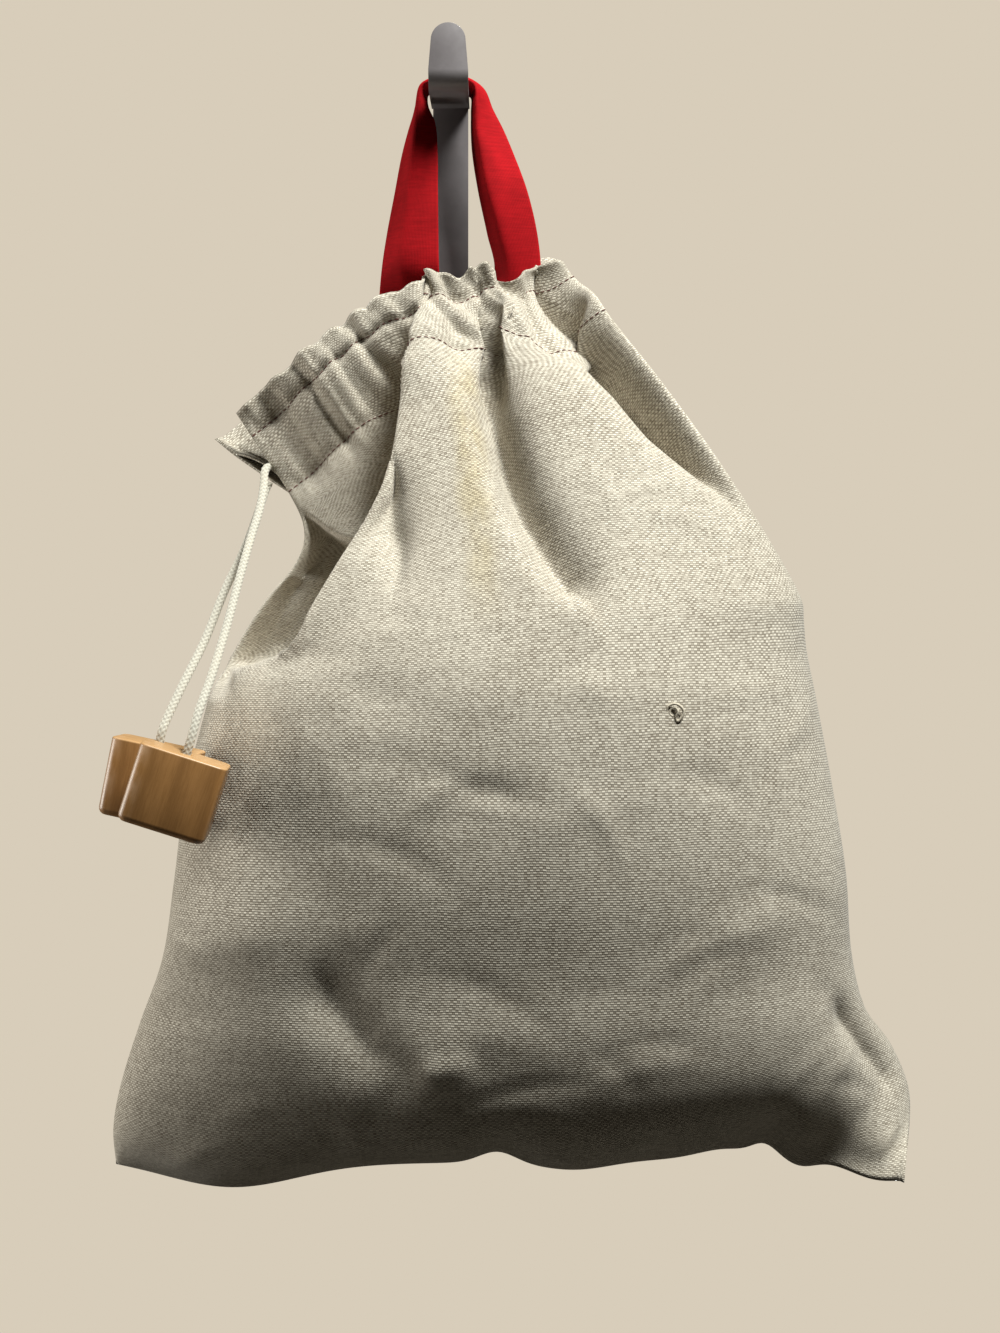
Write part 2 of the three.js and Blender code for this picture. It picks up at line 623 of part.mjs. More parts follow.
const part = new THREE.Group();
part.name = "drawstring_bag_on_hook";
part.add(named("wall_hook", hookGeometry(), material(0x8f8f94, 0.45, 0.6)));
part.add(named("hanging_loop", tapeGeometry(), material(0xb3121a, 0.8, 0)));
part.add(named("bag", bagGeometry(), material(0xb9ab92, 0.95, 0)));
part.add(named("cord_front", cordGeometry(FRONT_TAIL), material(0xe6e0d0, 0.85, 0)));
part.add(named("cord_back", cordGeometry(BACK_TAIL), material(0xe6e0d0, 0.85, 0)));
for (const block of BLOCKS) {
  part.add(named(block.name, blockGeometry(block), material(0x9a6a34, 0.45, 0)));
}

export default part;
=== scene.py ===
# %% [markdown]
# A full linen drawstring bag, hung on a wall hook
#
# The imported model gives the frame: metres, +Z up, the wall at y = 0 and the front of the bag towards -Y.
# Each solid in it is plain. Here each gets its cloth, braid, grain or paint, in the same place. Sizes are
# written in millimetres, as a maker would give them, unless a comment says metres. MM turns them into
# metres.

import math

import bmesh
import bpy
import numpy as np
from mathutils import Matrix, Vector


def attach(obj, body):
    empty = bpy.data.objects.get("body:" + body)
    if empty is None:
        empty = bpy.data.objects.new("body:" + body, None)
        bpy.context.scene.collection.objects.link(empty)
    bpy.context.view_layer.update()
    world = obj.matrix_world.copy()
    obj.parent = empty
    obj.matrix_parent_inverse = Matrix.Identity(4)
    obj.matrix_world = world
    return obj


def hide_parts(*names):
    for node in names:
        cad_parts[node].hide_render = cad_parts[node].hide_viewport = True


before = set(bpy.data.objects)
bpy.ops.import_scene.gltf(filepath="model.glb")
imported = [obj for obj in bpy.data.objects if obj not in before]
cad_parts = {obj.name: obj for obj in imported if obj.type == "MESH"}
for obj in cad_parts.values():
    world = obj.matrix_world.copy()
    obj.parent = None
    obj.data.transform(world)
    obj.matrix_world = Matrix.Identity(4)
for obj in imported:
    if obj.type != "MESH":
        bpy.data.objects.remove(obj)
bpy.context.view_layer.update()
MM = 0.001

# %% [markdown]
# The camera stands level with the middle of the bag, straight in front of it. A pixel of the photograph
# is 0.36 mm on the plane through the middle of the bag, 750 mm from the lens. The focal length follows
# from those two and from the height of the picture.

# %% Camera
PIXEL = 0.36
PICTURE_HEIGHT = 1333
VIEW_PLANE = -55
VIEW_DISTANCE = 750
EYE_X = 19
EYE_Z = -188

camera_data = bpy.data.cameras.new("camera")
camera_data.sensor_width = 36
camera_data.lens = camera_data.sensor_width * VIEW_DISTANCE / (PICTURE_HEIGHT * PIXEL)
camera = bpy.data.objects.new("camera", camera_data)
camera.location = Vector((EYE_X, VIEW_PLANE - VIEW_DISTANCE, EYE_Z)) * MM
camera.rotation_euler = (math.radians(90), 0, 0)
bpy.context.scene.collection.objects.link(camera)
bpy.context.scene.camera = camera
print("lens", round(camera_data.lens, 2), "mm")

# %% [markdown]
# A finish is a tree of nodes, and most of it is sums. Linking Math nodes by hand is slow to read, so a
# Value wraps one socket and turns +, -, * and the like into Math nodes as the sum is written. Every other
# node comes from the one method `add`, which takes its type, its settings and its inputs.


# %% Values and trees of nodes
class Value:
    """One socket of a tree. A sum with it adds Math nodes."""

    def __init__(self, tree, socket):
        self.tree = tree
        self.socket = socket

    def maths(self, operation, *inputs):
        return self.tree.add("ShaderNodeMath", {"operation": operation}, inputs)

    def __add__(self, other):
        return self.maths("ADD", self, other)

    def __sub__(self, other):
        return self.maths("SUBTRACT", self, other)

    def __rsub__(self, other):
        return self.maths("SUBTRACT", other, self)

    def __mul__(self, other):
        return self.maths("MULTIPLY", self, other)

    def __truediv__(self, other):
        return self.maths("DIVIDE", self, other)

    def __pow__(self, other):
        return self.maths("POWER", self, other)

    def __abs__(self):
        return self.maths("ABSOLUTE", self)

    __radd__ = __add__
    __rmul__ = __mul__

    def sin(self):
        return self.maths("SINE", self)

    def floor(self):
        return self.maths("FLOOR", self)

    def larger(self, other):
        return self.maths("MAXIMUM", self, other)

    def step(self, low, high):
        """0 below low, 1 above high and smooth between them."""
        settings = {"interpolation_type": "SMOOTHSTEP", "clamp": True}
        return self.tree.add("ShaderNodeMapRange", settings, {0: self, 1: low, 2: high})


class Tree:
    """A tree of nodes. The method add makes any node in it."""

    def __init__(self, nodes):
        self.nodes = nodes

    def add(self, kind, settings=None, inputs=(), out=0):
        node = self.nodes.nodes.new(kind)
        for name, setting in (settings or {}).items():
            setattr(node, name, setting)
        pairs = inputs.items() if isinstance(inputs, dict) else enumerate(inputs)
        for key, value in pairs:
            if isinstance(value, Value):
                self.nodes.links.new(value.socket, node.inputs[key])
            else:
                node.inputs[key].default_value = value
        return Value(self, node.outputs[out]) if node.outputs else None

    def parts(self, vector):
        made = self.add("ShaderNodeSeparateXYZ", None, [vector])
        return [Value(self, socket) for socket in made.socket.node.outputs]

    def point(self, x, y, z):
        return self.add("ShaderNodeCombineXYZ", None, [x, y, z])

    def noise(self, vector, scale=1, detail=2, roughness=0.5):
        inputs = {"Vector": vector, "Scale": scale, "Detail": detail, "Roughness": roughness}
        return self.add("ShaderNodeTexNoise", {"noise_dimensions": "3D"}, inputs)

    def mix(self, share, first, second, blend="MIX"):
        """Two colours mixed. A colour is a Value or three numbers."""
        first, second = (c if isinstance(c, Value) else (*c, 1) for c in (first, second))
        settings = {"data_type": "RGBA", "blend_type": blend}
        return self.add("ShaderNodeMix", settings, {0: share, 6: first, 7: second}, out=2)


def finish(name, slot_color, build, **constants):
    """A material whose tree is filled by build. Constants go straight on the shader's own sockets."""
    material = bpy.data.materials.new(name)
    material.use_nodes = True
    material.diffuse_color = (*slot_color, 1)
    tree = Tree(material.node_tree)
    shader = material.node_tree.nodes["Principled BSDF"]
    for socket, value in constants.items():
        shader.inputs[socket.replace("_", " ").title().replace("Ior", "IOR")].default_value = value
    for socket, value in build(tree).items():
        material.node_tree.links.new(value.socket, shader.inputs[socket])
    print("finish", name, "with", len(material.node_tree.nodes), "nodes")
    return material


# %% [markdown]
# Meshes are made from lists of points in millimetres. Each piece stays at the origin, with its place in
# its mesh, as the solids of the frame do. A piece rides on the one body and keeps the finish it was
# made with.


# %% Pieces from points
def piece(name, points, faces, material):
    """A smooth mesh from points in millimetres."""
    mesh = bpy.data.meshes.new(name)
    mesh.from_pydata([tuple(point) for point in np.asarray(points, float) * MM], [], faces)
    mesh.polygons.foreach_set("use_smooth", [True] * len(mesh.polygons))
    mesh.materials.append(material)
    made = bpy.data.objects.new(name, mesh)
    bpy.context.scene.collection.objects.link(made)
    return made


def settle(made):
    """The object's modifiers become part of its mesh."""
    bpy.context.view_layer.update()
    seen = made.evaluated_get(bpy.context.evaluated_depsgraph_get())
    mesh = bpy.data.meshes.new_from_object(seen)
    made.modifiers.clear()
    made.data = mesh
    return made


def seat(made, slot, *nodes):
    """The piece rides on the bag's body and stands for the nodes. The slot is not used."""
    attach(made, "root")
    if nodes:
        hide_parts(*nodes)
    triangles = sum(len(face.vertices) - 2 for face in made.data.polygons)
    print("piece", made.name, "with", triangles, "triangles")
    return made


# %% [markdown]
# The drawstring is a white round braid, 3 mm thick. Its strands cross over and under each other in two
# directions, which gives rows of small chevrons. A texture could fake that, but the edge of the cord
# would stay smooth, so here the relief is real. Its finish comes first: soft cotton, with shade painted
# darker in the braid's grooves.


# %% White cotton
def cotton(tree):
    painted_groove_shade = tree.add("ShaderNodeAttribute", {"attribute_name": "braid"}, out=2)
    place = tree.add("ShaderNodeTexCoord", None, out=3)
    fibres = tree.noise(place, 2600, 3, 0.6)
    wear = tree.noise(place, 45, 2)
    # Painted shade: the cotton is darker where the braid is low, in its grooves.
    shade = painted_groove_shade * 0.75 + fibres * 0.3
    color = tree.mix(shade.step(0.1, 0.85), (0.32, 0.3, 0.25), (0.55, 0.53, 0.45))
    color = tree.mix(wear.step(0.45, 0.8) * 0.25, color, (0.6, 0.54, 0.42))
    bump = tree.add("ShaderNodeBump", None, {"Strength": 0.35, "Distance": 0.2 * MM, "Height": fibres})
    return {"Base Color": color, "Normal": bump}


cotton_finish = finish("braided cotton", (0.78, 0.75, 0.66), cotton, roughness=0.85, sheen_weight=0.2)

# %% [markdown]
# Geometry Nodes suit a piece that follows a path. This tree sweeps a circle along the cord's route and
# lifts each point by the braid's own rule: two sets of strands wind opposite ways, and the higher one
# shows at each place. It keeps that height as the attribute `braid`, from which the cotton paints shade
# into its grooves.

# %% Tree of the braid
BRAID_SAMPLE = 0.3
BRAID_SIDES = 28
WINDING = 2 * math.pi


def node_group(name, output, inputs):
    """An empty tree with named inputs and one output of geometry, and its inputs as Values."""
    nodes = bpy.data.node_groups.new(name, "GeometryNodeTree")
    for socket, kind in inputs.items():
        nodes.interface.new_socket(socket, in_out="INPUT", socket_type="NodeSocket" + kind)
    nodes.interface.new_socket(output, in_out="OUTPUT", socket_type="NodeSocketGeometry")
    tree = Tree(nodes)
    given = tree.add("NodeGroupInput").socket.node.outputs
    return tree, [Value(tree, socket) for socket in given[: len(inputs)]]


def captured(tree, curve, name, value):
    """The curve, and the value as it was on the curve."""
    node = tree.add("GeometryNodeCaptureAttribute").socket.node
    node.capture_items.new("FLOAT", name)
    tree.nodes.links.new(curve.socket, node.inputs[0])
    tree.nodes.links.new(value.socket, node.inputs[1])
    return Value(tree, node.outputs[0]), Value(tree, node.outputs[1])


def dress(tree, made, material):
    """The end of a tree: real faces with their finish."""
    real = tree.add("GeometryNodeRealizeInstances", None, [made])
    dressed = tree.add("GeometryNodeSetMaterial", None, {"Geometry": real, "Material": material})
    tree.add("NodeGroupOutput", None, [dressed])
    print("tree", tree.nodes.name, "with", len(tree.nodes.nodes), "nodes")
    return tree.nodes


def braid_tree():
    """A route becomes a closed tube with the relief of a round braid."""
    tree, (route, diameter, relief, step, pairs, material) = node_group("round braid", "Cord", {
        "Route": "Geometry", "Diameter": "Float", "Relief": "Float",
        "Step": "Float", "Pairs": "Float", "Finish": "Material",
    })
    sample = {"Curve": route, "Length": BRAID_SAMPLE * MM}
    even = tree.add("GeometryNodeResampleCurve", {"mode": "LENGTH"}, sample)
    length = tree.add("GeometryNodeSplineParameter", None, out=1)
    path, path_length = captured(tree, even, "length", length)
    ring = {"Resolution": BRAID_SIDES, "Radius": diameter * 0.5 - relief * 0.6}
    circle = tree.add("GeometryNodeCurvePrimitiveCircle", None, ring)
    turn = tree.add("GeometryNodeSplineParameter", None, out=0)
    profile, profile_turn = captured(tree, circle, "turn", turn)
    sweep = {"Curve": path, "Profile Curve": profile, "Fill Caps": True}
    tube = tree.add("GeometryNodeCurveToMesh", None, sweep)

    along_cord = path_length / step
    round_cord = profile_turn * pairs
    right_hand = ((round_cord + along_cord) * WINDING).sin() * 0.5 + 0.5
    left_hand = ((round_cord - along_cord) * WINDING).sin() * 0.5 + 0.5
    over = (round_cord * WINDING).sin() * 0.4
    braid = (right_hand * (over + 0.6)).larger(left_hand * (0.6 - over))

    normal = tree.add("GeometryNodeInputNormal")
    lift = tree.add("ShaderNodeVectorMath", {"operation": "SCALE"}, {0: normal, 3: braid * relief})
    moved = tree.add("GeometryNodeSetPosition", None, {0: tube, 3: lift})
    kept = tree.add(
        "GeometryNodeStoreNamedAttribute",
        {"data_type": "FLOAT", "domain": "POINT"},
        {"Geometry": moved, "Name": "braid", "Value": braid},
    )
    return dress(tree, kept, material)


round_braid = braid_tree()

# %% [markdown]
# A tree of nodes needs something to work on. Lines of points become a curve object, and the tree's named
# inputs are set by their identifiers. What comes out is kept as a plain mesh, so nothing is left to work
# out later.


# %% Lines through a tree
def through_nodes(name, lines, nodes, inputs):
    """Lines of points in millimetres, sent through a tree with its inputs set, become one plain mesh."""
    curve = bpy.data.curves.new(name + " lines", "CURVE")
    curve.dimensions = "3D"
    for line in lines:
        spline = curve.splines.new("POLY")
        spline.points.add(len(line) - 1)
        for target, point in zip(spline.points, line):
            target.co = (*(np.asarray(point) * MM), 1)
    source = bpy.data.objects.new(name + " lines", curve)
    bpy.context.scene.collection.objects.link(source)
    modifier = source.modifiers.new("nodes", "NODES")
    modifier.node_group = nodes
    for socket in nodes.interface.items_tree:
        if socket.in_out == "INPUT" and socket.name in inputs:
            modifier[socket.identifier] = inputs[socket.name]
    bpy.context.view_layer.update()
    seen = source.evaluated_get(bpy.context.evaluated_depsgraph_get())
    mesh = bpy.data.meshes.new_from_object(seen)
    source.modifiers.clear()
    bpy.data.objects.remove(source)
    mesh.name = name
    mesh.polygons.foreach_set("use_smooth", [True] * len(mesh.polygons))
    made = bpy.data.objects.new(name, mesh)
    bpy.context.scene.collection.objects.link(made)
    return made


# %% [markdown]
# The two tails leave the two open ends of the casing and hang in front of the bag. Each route is a list
# of given points, from the casing down into the block, with a smooth curve through them.

# %% Cord tails
CORD_DIAMETER = 3
BRAID_RELIEF = 0.26
BRAID_STEP = 1.9  # length of cord from one crossing to the next
BRAID_PAIRS = 4
TAIL_STEPS = 8
FRONT_TAIL = [
    [-61.5, -22.6, -110.5], [-65.5, -23, -112.2],
    [-68.2, -25, -113.6], [-68.9, -26.9, -115.4], [-68.9, -30.5, -121], [-69.5, -38, -130],
    [-71.3, -47, -140], [-73.8, -62, -156], [-76.4, -78, -174], [-79.6, -95, -192],
    [-82.4, -106, -204], [-84.2, -109.7, -212.5], [-87.2, -109.3, -221.8],
]
BACK_TAIL = [
    [-67.5, -23.7, -118.8], [-68.5, -23.7, -120.9], [-70.2, -26.4, -127], [-74.8, -39, -144.5],
    [-80.5, -51, -160.3], [-85.9, -64, -178.6], [-92.4, -79, -196.2], [-96.2, -87, -207],
    [-97.2, -89, -210.6], [-99, -88.5, -219.4],
]
TAILS = {"cord_front": FRONT_TAIL, "cord_back": BACK_TAIL}


def smooth_line(points, steps):
    """A centripetal Catmull-Rom curve through the points, with that many steps between two of them."""
    p = np.array(points, float)
    p = np.vstack([2 * p[0] - p[1], p, 2 * p[-1] - p[-2]])
    line = []
    for a, b, c, d in zip(p, p[1:], p[2:], p[3:]):
        ab, bc, cd = (math.sqrt(np.linalg.norm(n - m)) for m, n in ((a, b), (b, c), (c, d)))
        start = ((b - a) / ab - (c - a) / (ab + bc) + (c - b) / bc) * bc
        end = ((c - b) / bc - (d - b) / (bc + cd) + (d - c) / cd) * bc
        for t in np.arange(steps) / steps:
            bend = 3 * (c - b) - 2 * start - end + t * (2 * (b - c) + start + end)
            line.append(b + t * (start + t * bend))
    line.append(p[-2])
    return np.array(line)


braid_sizes = {
    "Diameter": CORD_DIAMETER * MM,
    "Relief": BRAID_RELIEF * MM,
    "Step": BRAID_STEP * MM,
    "Pairs": float(BRAID_PAIRS),
    "Finish": cotton_finish,
}
cords = {}
for name, tail in TAILS.items():
    cords[name] = through_nodes("braid_" + name, [smooth_line(tail, TAIL_STEPS)], round_braid, braid_sizes)
    seat(cords[name], "cotton_cord", name)

# %% [markdown]
# A wooden block hangs on the end of each tail, sawn from close-grained hardwood under satin varnish. An
# image of wood would stop at the edges of each face. A pattern in three dimensions runs through the block
# as real grain does. It reads the attribute `grain`, each point's place in its own block, so that the
# grain runs down the block however it hangs.

# %% Varnished wood
BLOCK_SIZE = (30, 18, 27)


def varnished(tree):
    grain = tree.add("ShaderNodeAttribute", {"attribute_name": "grain"}, out=1)
    x, y, z = tree.parts(grain)
    drift = tree.noise(tree.point(x * 0.08, y * 0.08, z * 0.03), 1, 2)
    rings = (x * 0.55 + y * 1.5 + drift * 9).sin() * 0.5 + 0.5
    pores = tree.noise(tree.point(x * 2.6, y * 2.6, z * 0.16), 1, 3, 0.6)
    flecks = tree.noise(tree.point(x * 6, y * 6, z * 0.5), 1, 2)
    tone = rings * 0.3 + pores * 0.7
    color = tree.mix(tone.step(0.2, 0.85), (0.25, 0.12, 0.036), (0.37, 0.185, 0.06))
    color = tree.mix(flecks.step(0.58, 0.75) * 0.3, color, (0.15, 0.065, 0.02))
    # Painted highlight: the top face is painted paler, as lit from above.
    painted_top_light = z.step(BLOCK_SIZE[2] / 2 - 0.8, BLOCK_SIZE[2] / 2 - 0.1)
    color = tree.mix(painted_top_light * 0.6, color, (0.6, 0.37, 0.17))
    rub = tree.noise(tree.point(x * 0.25, y * 0.25, z * 0.12), 1, 3)
    # Painted highlight and wear: the left edges are painted paler, where the light catches them and where
    # they are rubbed.
    left_edge_highlight_and_wear = (1 - (x + BLOCK_SIZE[0] / 2).step(1.2, 5.5)) * rub.step(0.35, 0.7)
    color = tree.mix(left_edge_highlight_and_wear * 0.55, color, (0.55, 0.36, 0.22))
    rough = pores * 0.2 + rub * 0.16 + 0.24
    bump = tree.add("ShaderNodeBump", None, {"Strength": 0.25, "Distance": 0.15 * MM, "Height": pores})
    return {"Base Color": color, "Roughness": rough, "Normal": bump}


wood_finish = finish("varnished wood", (0.33, 0.17, 0.06), varnished, coat_weight=0.25, coat_roughness=0.3)

# %% [markdown]
# Each block is a box. Its long edges are rounded over first, then its two ends, the top one only a
# little. A turned drill shape is cut out of the top, which leaves the hole a small countersink. The block
# is then hung from its tail.

# %% Wooden blocks
BLOCK_EDGE = 3.2
TOP_EDGE = 0.7
LOW_EDGE = 2.4
HOLE = 4
HOLE_DEPTH = 12
DRILL_SIDES = 32
COUNTERSINK = 1.6
COUNTERSINK_DEPTH = 0.6
TAIL_IN_BLOCK = 5
BLOCK_SHARP = 40
BLOCKS = {
    "block_front": (FRONT_TAIL, (-0.31, 0.04, -0.95), 0.04),
    "block_back": (BACK_TAIL, (-0.2, 0.05, -0.978), -0.1),
}


def turned(name, profile, sides, material):
    """A closed solid of revolution about Z, from radius and height pairs, top first."""
    points = []
    for radius, height in profile:
        for i in range(sides):
            angle = 2 * math.pi * i / sides
            points.append((radius * math.cos(angle), radius * math.sin(angle), height))
    faces = [tuple(range(sides)), tuple(reversed(range(len(points) - sides, len(points))))]
    for row in range(len(profile) - 1):
        for i in range(sides):
            a, b = row * sides + i, row * sides + (i + 1) % sides
            faces.append((a, a + sides, b + sides, b))
    return piece(name, points, faces, material)


def wooden_block(name, tail, hang, turn):
    shell = bmesh.new()
    bmesh.ops.create_cube(shell, size=1)
    bmesh.ops.scale(shell, vec=Vector(BLOCK_SIZE) * MM, verts=shell.verts)
    upright = [edge for edge in shell.edges if edge.verts[0].co.z != edge.verts[1].co.z]
    bmesh.ops.bevel(shell, geom=upright, offset=BLOCK_EDGE * MM, segments=7, profile=0.5, affect="EDGES")
    for z, offset in ((BLOCK_SIZE[2] / 2, TOP_EDGE), (-BLOCK_SIZE[2] / 2, LOW_EDGE)):
        level = [edge for edge in shell.edges if all(abs(vert.co.z - z * MM) < 1e-6 for vert in edge.verts)]
        bmesh.ops.bevel(shell, geom=level, offset=offset * MM, segments=4, profile=0.5, affect="EDGES")
    mesh = bpy.data.meshes.new("wood_" + name)
    shell.to_mesh(mesh)
    shell.free()
    mesh.materials.append(wood_finish)
    block = bpy.data.objects.new("wood_" + name, mesh)
    bpy.context.scene.collection.objects.link(block)

    top = BLOCK_SIZE[2] / 2
    bore = HOLE / 2
    profile = [(bore + COUNTERSINK, top + 1), (bore, top - COUNTERSINK_DEPTH), (bore, top - HOLE_DEPTH)]
    drill = turned("drill", profile, DRILL_SIDES, wood_finish)
    cut = block.modifiers.new("drilled", "BOOLEAN")
    cut.operation = "DIFFERENCE"
    cut.solver = "EXACT"
    cut.object = drill
    settle(block)
    bpy.data.objects.remove(drill)

    places = np.zeros(len(block.data.vertices) * 3)
    block.data.vertices.foreach_get("co", places)
    block.data.attributes.new("grain", "FLOAT_VECTOR", "POINT").data.foreach_set("vector", places / MM)
    block.data.polygons.foreach_set("use_smooth", [True] * len(block.data.polygons))

    up = -Vector(hang).normalized()
    sideways = Vector((math.cos(turn), math.sin(turn), 0))
    sideways = (sideways - up * sideways.dot(up)).normalized()
    axes = Matrix((sideways, up.cross(sideways), up)).transposed().to_4x4()
    middle = Vector(tail[-1]) + up * (TAIL_IN_BLOCK - BLOCK_SIZE[2] / 2)
    block.data.transform(Matrix.Translation(middle * MM) @ axes)
    block.data.set_sharp_from_angle(angle=math.radians(BLOCK_SHARP))
    return block


blocks = {}
for name, (tail, hang, turn) in BLOCKS.items():
    blocks[name] = wooden_block(name, tail, hang, turn)
    seat(blocks[name], "varnished_wood", name)

# %% [markdown]
# A free cord can be laid another way by whoever uses the part. Here the route of each tail is worked out
# again, in metres.

for name, block in zip(TAILS, blocks.values()):
    line = smooth_line(TAILS[name], TAIL_STEPS) * MM

# %% [markdown]
# The bag is a rectangle of linen, folded at the right, seamed at the bottom and up the left, and hung
# full. One rule gives every point of it: a place across the cloth and a distance down from the mouth
# edge. Tables hold what a maker would measure on the hung bag. A section gives its two sides, how far its
# front and back stand out and how much the line between the sides arches. The front rolls forward along a
# ridge. At its left the cloth is set back in a recess below the casing's flap, and the casing leans
# forward over it.


# %% Sections and ridge of the hung bag
def table(columns, rows):
    """Rows of numbers become one array for each named column."""
    return dict(zip(columns.split(), np.array(rows, float).T))


HEADING = 9
CASING = 36
SECTIONS = table("down leftX leftY leftZ rightX rightY rightZ frontY backY crown", [
    [0, -80, -24, -93, 43, -24, -38, -38, -10, 16],
    [9, -74, -24, -102, 47, -24, -42, -41, -10, 16],
    [36, -60, -27, -123, 58, -40, -58, -52, -9, 14],
    [64, -54, -29, -137, 76.5, -57, -85, -68, -8, 16],
    [92, -57, -28, -149, 96, -66, -114, -82, -6, 12],
    [122, -70, -26, -165, 113, -63, -140, -95, -5, 7],
    [152, -82, -23, -184, 127, -56, -164, -109, -4, 2],
    [160, -84, -25, -189, 128, -54, -172, -112, -4, 1],
    [170, -86, -35, -194, 129, -53, -182, -115, -4, 1],
    [185, -88, -43, -204, 132, -51, -196, -119, -4, 0],
    [218, -94, -51, -232, 138, -52, -229, -122, -4, 0],
    [250, -98, -53, -265, 143, -53, -261, -121, -4, 0],
    [280, -102, -54, -292, 145, -54, -290, -117, -5, -2],
    [306, -110, -55, -315, 150, -55, -310, -114, -7, -6],
    [334, -117, -56, -337, 162, -46, -326, -106, -14, -10],
    [356, -120, -56, -353, 166.5, -55, -342, -89, -31, -8],
    [374, -119, -56, -365.3, 158.5, -86, -361, -57.8, -54.2, -2.6],
])
SEAM = SECTIONS["down"][-1]
ROUNDNESS = 0.9
BACK_ROUNDNESS = 0.55

RIDGE = table("z x set_back roll", [
    [-46, -9, 0.3, 3],
    [-65, -10, 0.7, 7],
    [-85, -12, 0.92, 9],
    [-115, -16, 0.92, 9],
    [-134, -23, 0.9, 9],
    [-153, -34, 0.87, 9],
    [-168, -43.5, 0.87, 8],
    [-179, -53, 0.9, 4],
    [-185, -65, 0.9, 0.5],
    [-189, -79, 0.9, 0],
])
RIDGE_FOOT = -200
RIDGE_FADE = 9
ROLL_START = 5.5
ROLL_END = -4
ROLL_WIDTH = 6
FLAP_EDGE = [[-72, -119], [-66, -123], [-53, -132], [-44, -139.5], [-37, -144], [-30, -152]]
FLAP_SOFT = 1.5
RECESS = 14
RECESS_FROM = -0.88
FLANK_LEAN = table("down forward", [[0, 8], [9, 14], [36, 6], [64, 1], [92, 0], [SEAM, 0]])
LEAN_FROM = 1
LEAN_FULL = -7
LEAN_SIDE = -0.5
print(len(SECTIONS["down"]), "sections, the last", SEAM, "mm down the cloth")

# %% [markdown]
# The drawstring pulls up gathers. Each has its place, from -1 at the left to 1 at the right, its depth
# and width, and its reach below the casing. Long folds run down from them. A fold has its depth, its
# width left and right of its path, the share of its depth at either end, and the path. A crest is a fold
# with a negative depth. Lobes make the edges uneven: at a distance down, with a reach, each has its
# place, its rise and its width.

# %% Gathers, folds and lobes
FRONT_GATHERS = [
    (-0.86, 2, 4, 10),
    (-0.66, 1.9, 4, 14),
    (-0.47, 1.6, 3.5, 10),
    (-0.32, 2, 4, 18),
    (0.16, 2.6, 2.4, 12),
    (0.28, 1.8, 2, 8),
    (0.64, 6, 5, 12),
    (0.84, 2.4, 4, 14),
]
BACK_GATHERS = [
    (-0.75, 2, 7, 40),
    (-0.45, 2.4, 7, 60),
    (0.78, 1.8, 6, 50),
]
FOLDS = [
    (3, 2.4, 2.6, 0.2, 0, [[3, -56], [4, -64], [5, -72], [5, -84]]),
    (18, 5, 9, 0.4, 0.6, [
        [10, -47], [11, -55], [11.5, -68], [12.5, -82], [14.5, -97],
        [19, -114], [25.5, -131], [34, -146], [42, -158],
    ]),
    (25, 8, 22, 0.55, 0.1, [
        [36, -38], [42, -51], [50, -65], [58, -72], [67, -82],
        [79, -98], [96, -114], [111, -128], [119, -141],
    ]),
    (-6, 9, 9, 0.8, 0.3, [[46, -34], [51, -46], [58, -60], [67, -74]]),
    (-3.5, 7, 7, 0.6, 0, [[-6, -60], [-6, -76], [-7, -96]]),
    (13, 7, 4, 0.3, 0, [[-18, -72], [-20, -86], [-22, -100], [-25, -119], [-31, -136], [-38, -148]]),
    (1.6, 1.6, 1.6, 0.8, 0.7, [
        [-44, -139], [-45, -146], [-47.6, -156], [-56, -166.4], [-60.3, -172.4], [-66, -180],
    ]),
    (-1.6, 2.5, 2.5, 0.5, 0.5, [[-62, -153.5], [-50, -156]]),
    (9, 4.5, 4, 0.1, 0.1, [[-10, -110], [-12.5, -126], [-15.5, -145], [-18, -168]]),
    (2.4, 11, 11, 0.5, 0.5, [[-36, -196], [-8, -200]]),
    (1.7, 7, 5, 0, 0, [[-6, -222], [9, -227], [22, -231], [36, -232]]),
    (-6, 28, 28, 0.8, 0, [[-97, -288], [-79, -284], [-58, -279], [-32, -272]]),
    (3.8, 9, 9, 0, 0, [[-46, -284], [-38, -300], [-25, -316], [-2, -326]]),
    (-2.2, 6, 6, 0, 0, [[-13, -325], [1, -322], [14, -319]]),
    (-1, 8, 8, 0, 0, [[88, -283], [104, -277], [120, -270]]),
    (6, 6, 5, 0.2, 0.7, [[134, -301], [143, -312], [151, -323], [157, -332]]),
    (-10, 9, 9, 0.7, 0.9, [[156, -360], [161, -370]]),
]
LOBES = [
    (0, 13, [
        (-60.8, -1.6, 2.2), (-49, -2, 2.2), (-39.9, -1.6, 2), (-29.6, -2, 2.2), (-20, -1.6, 2), (-7, 2.6, 5),
        (4.2, -3, 2.6), (13, 2, 4), (23, -3.2, 3.2), (36, 5, 7), (46, -1, 4),
    ]),
    (CASING, 15, [(-3, 8, 8), (10, 6, 4), (20, 6, 4), (36, -5, 8), (52, 3, 5)]),
    (SEAM, 30, [
        (-77, -8.5, 32), (18, 4, 9), (46, -3.2, 18), (100, 3.5, 14),
        (113, 4, 6), (126, -2.5, 7), (152, -6.5, 14),
    ]),
]
print(len(FRONT_GATHERS) + len(BACK_GATHERS), "gathers,", len(FOLDS), "folds")

# %% [markdown]
# The tables are read by smooth curves, so that the sections blend into each other. These helpers work on
# whole arrays of places at once, which keeps them fast.


# %% Curves and distances
def smoothstep(start, end, value):
    t = np.clip((value - start) / (end - start), 0, 1)
    return t * t * (3 - 2 * t)


def bell(distance, width):
    return np.exp(-((distance / width) ** 2))


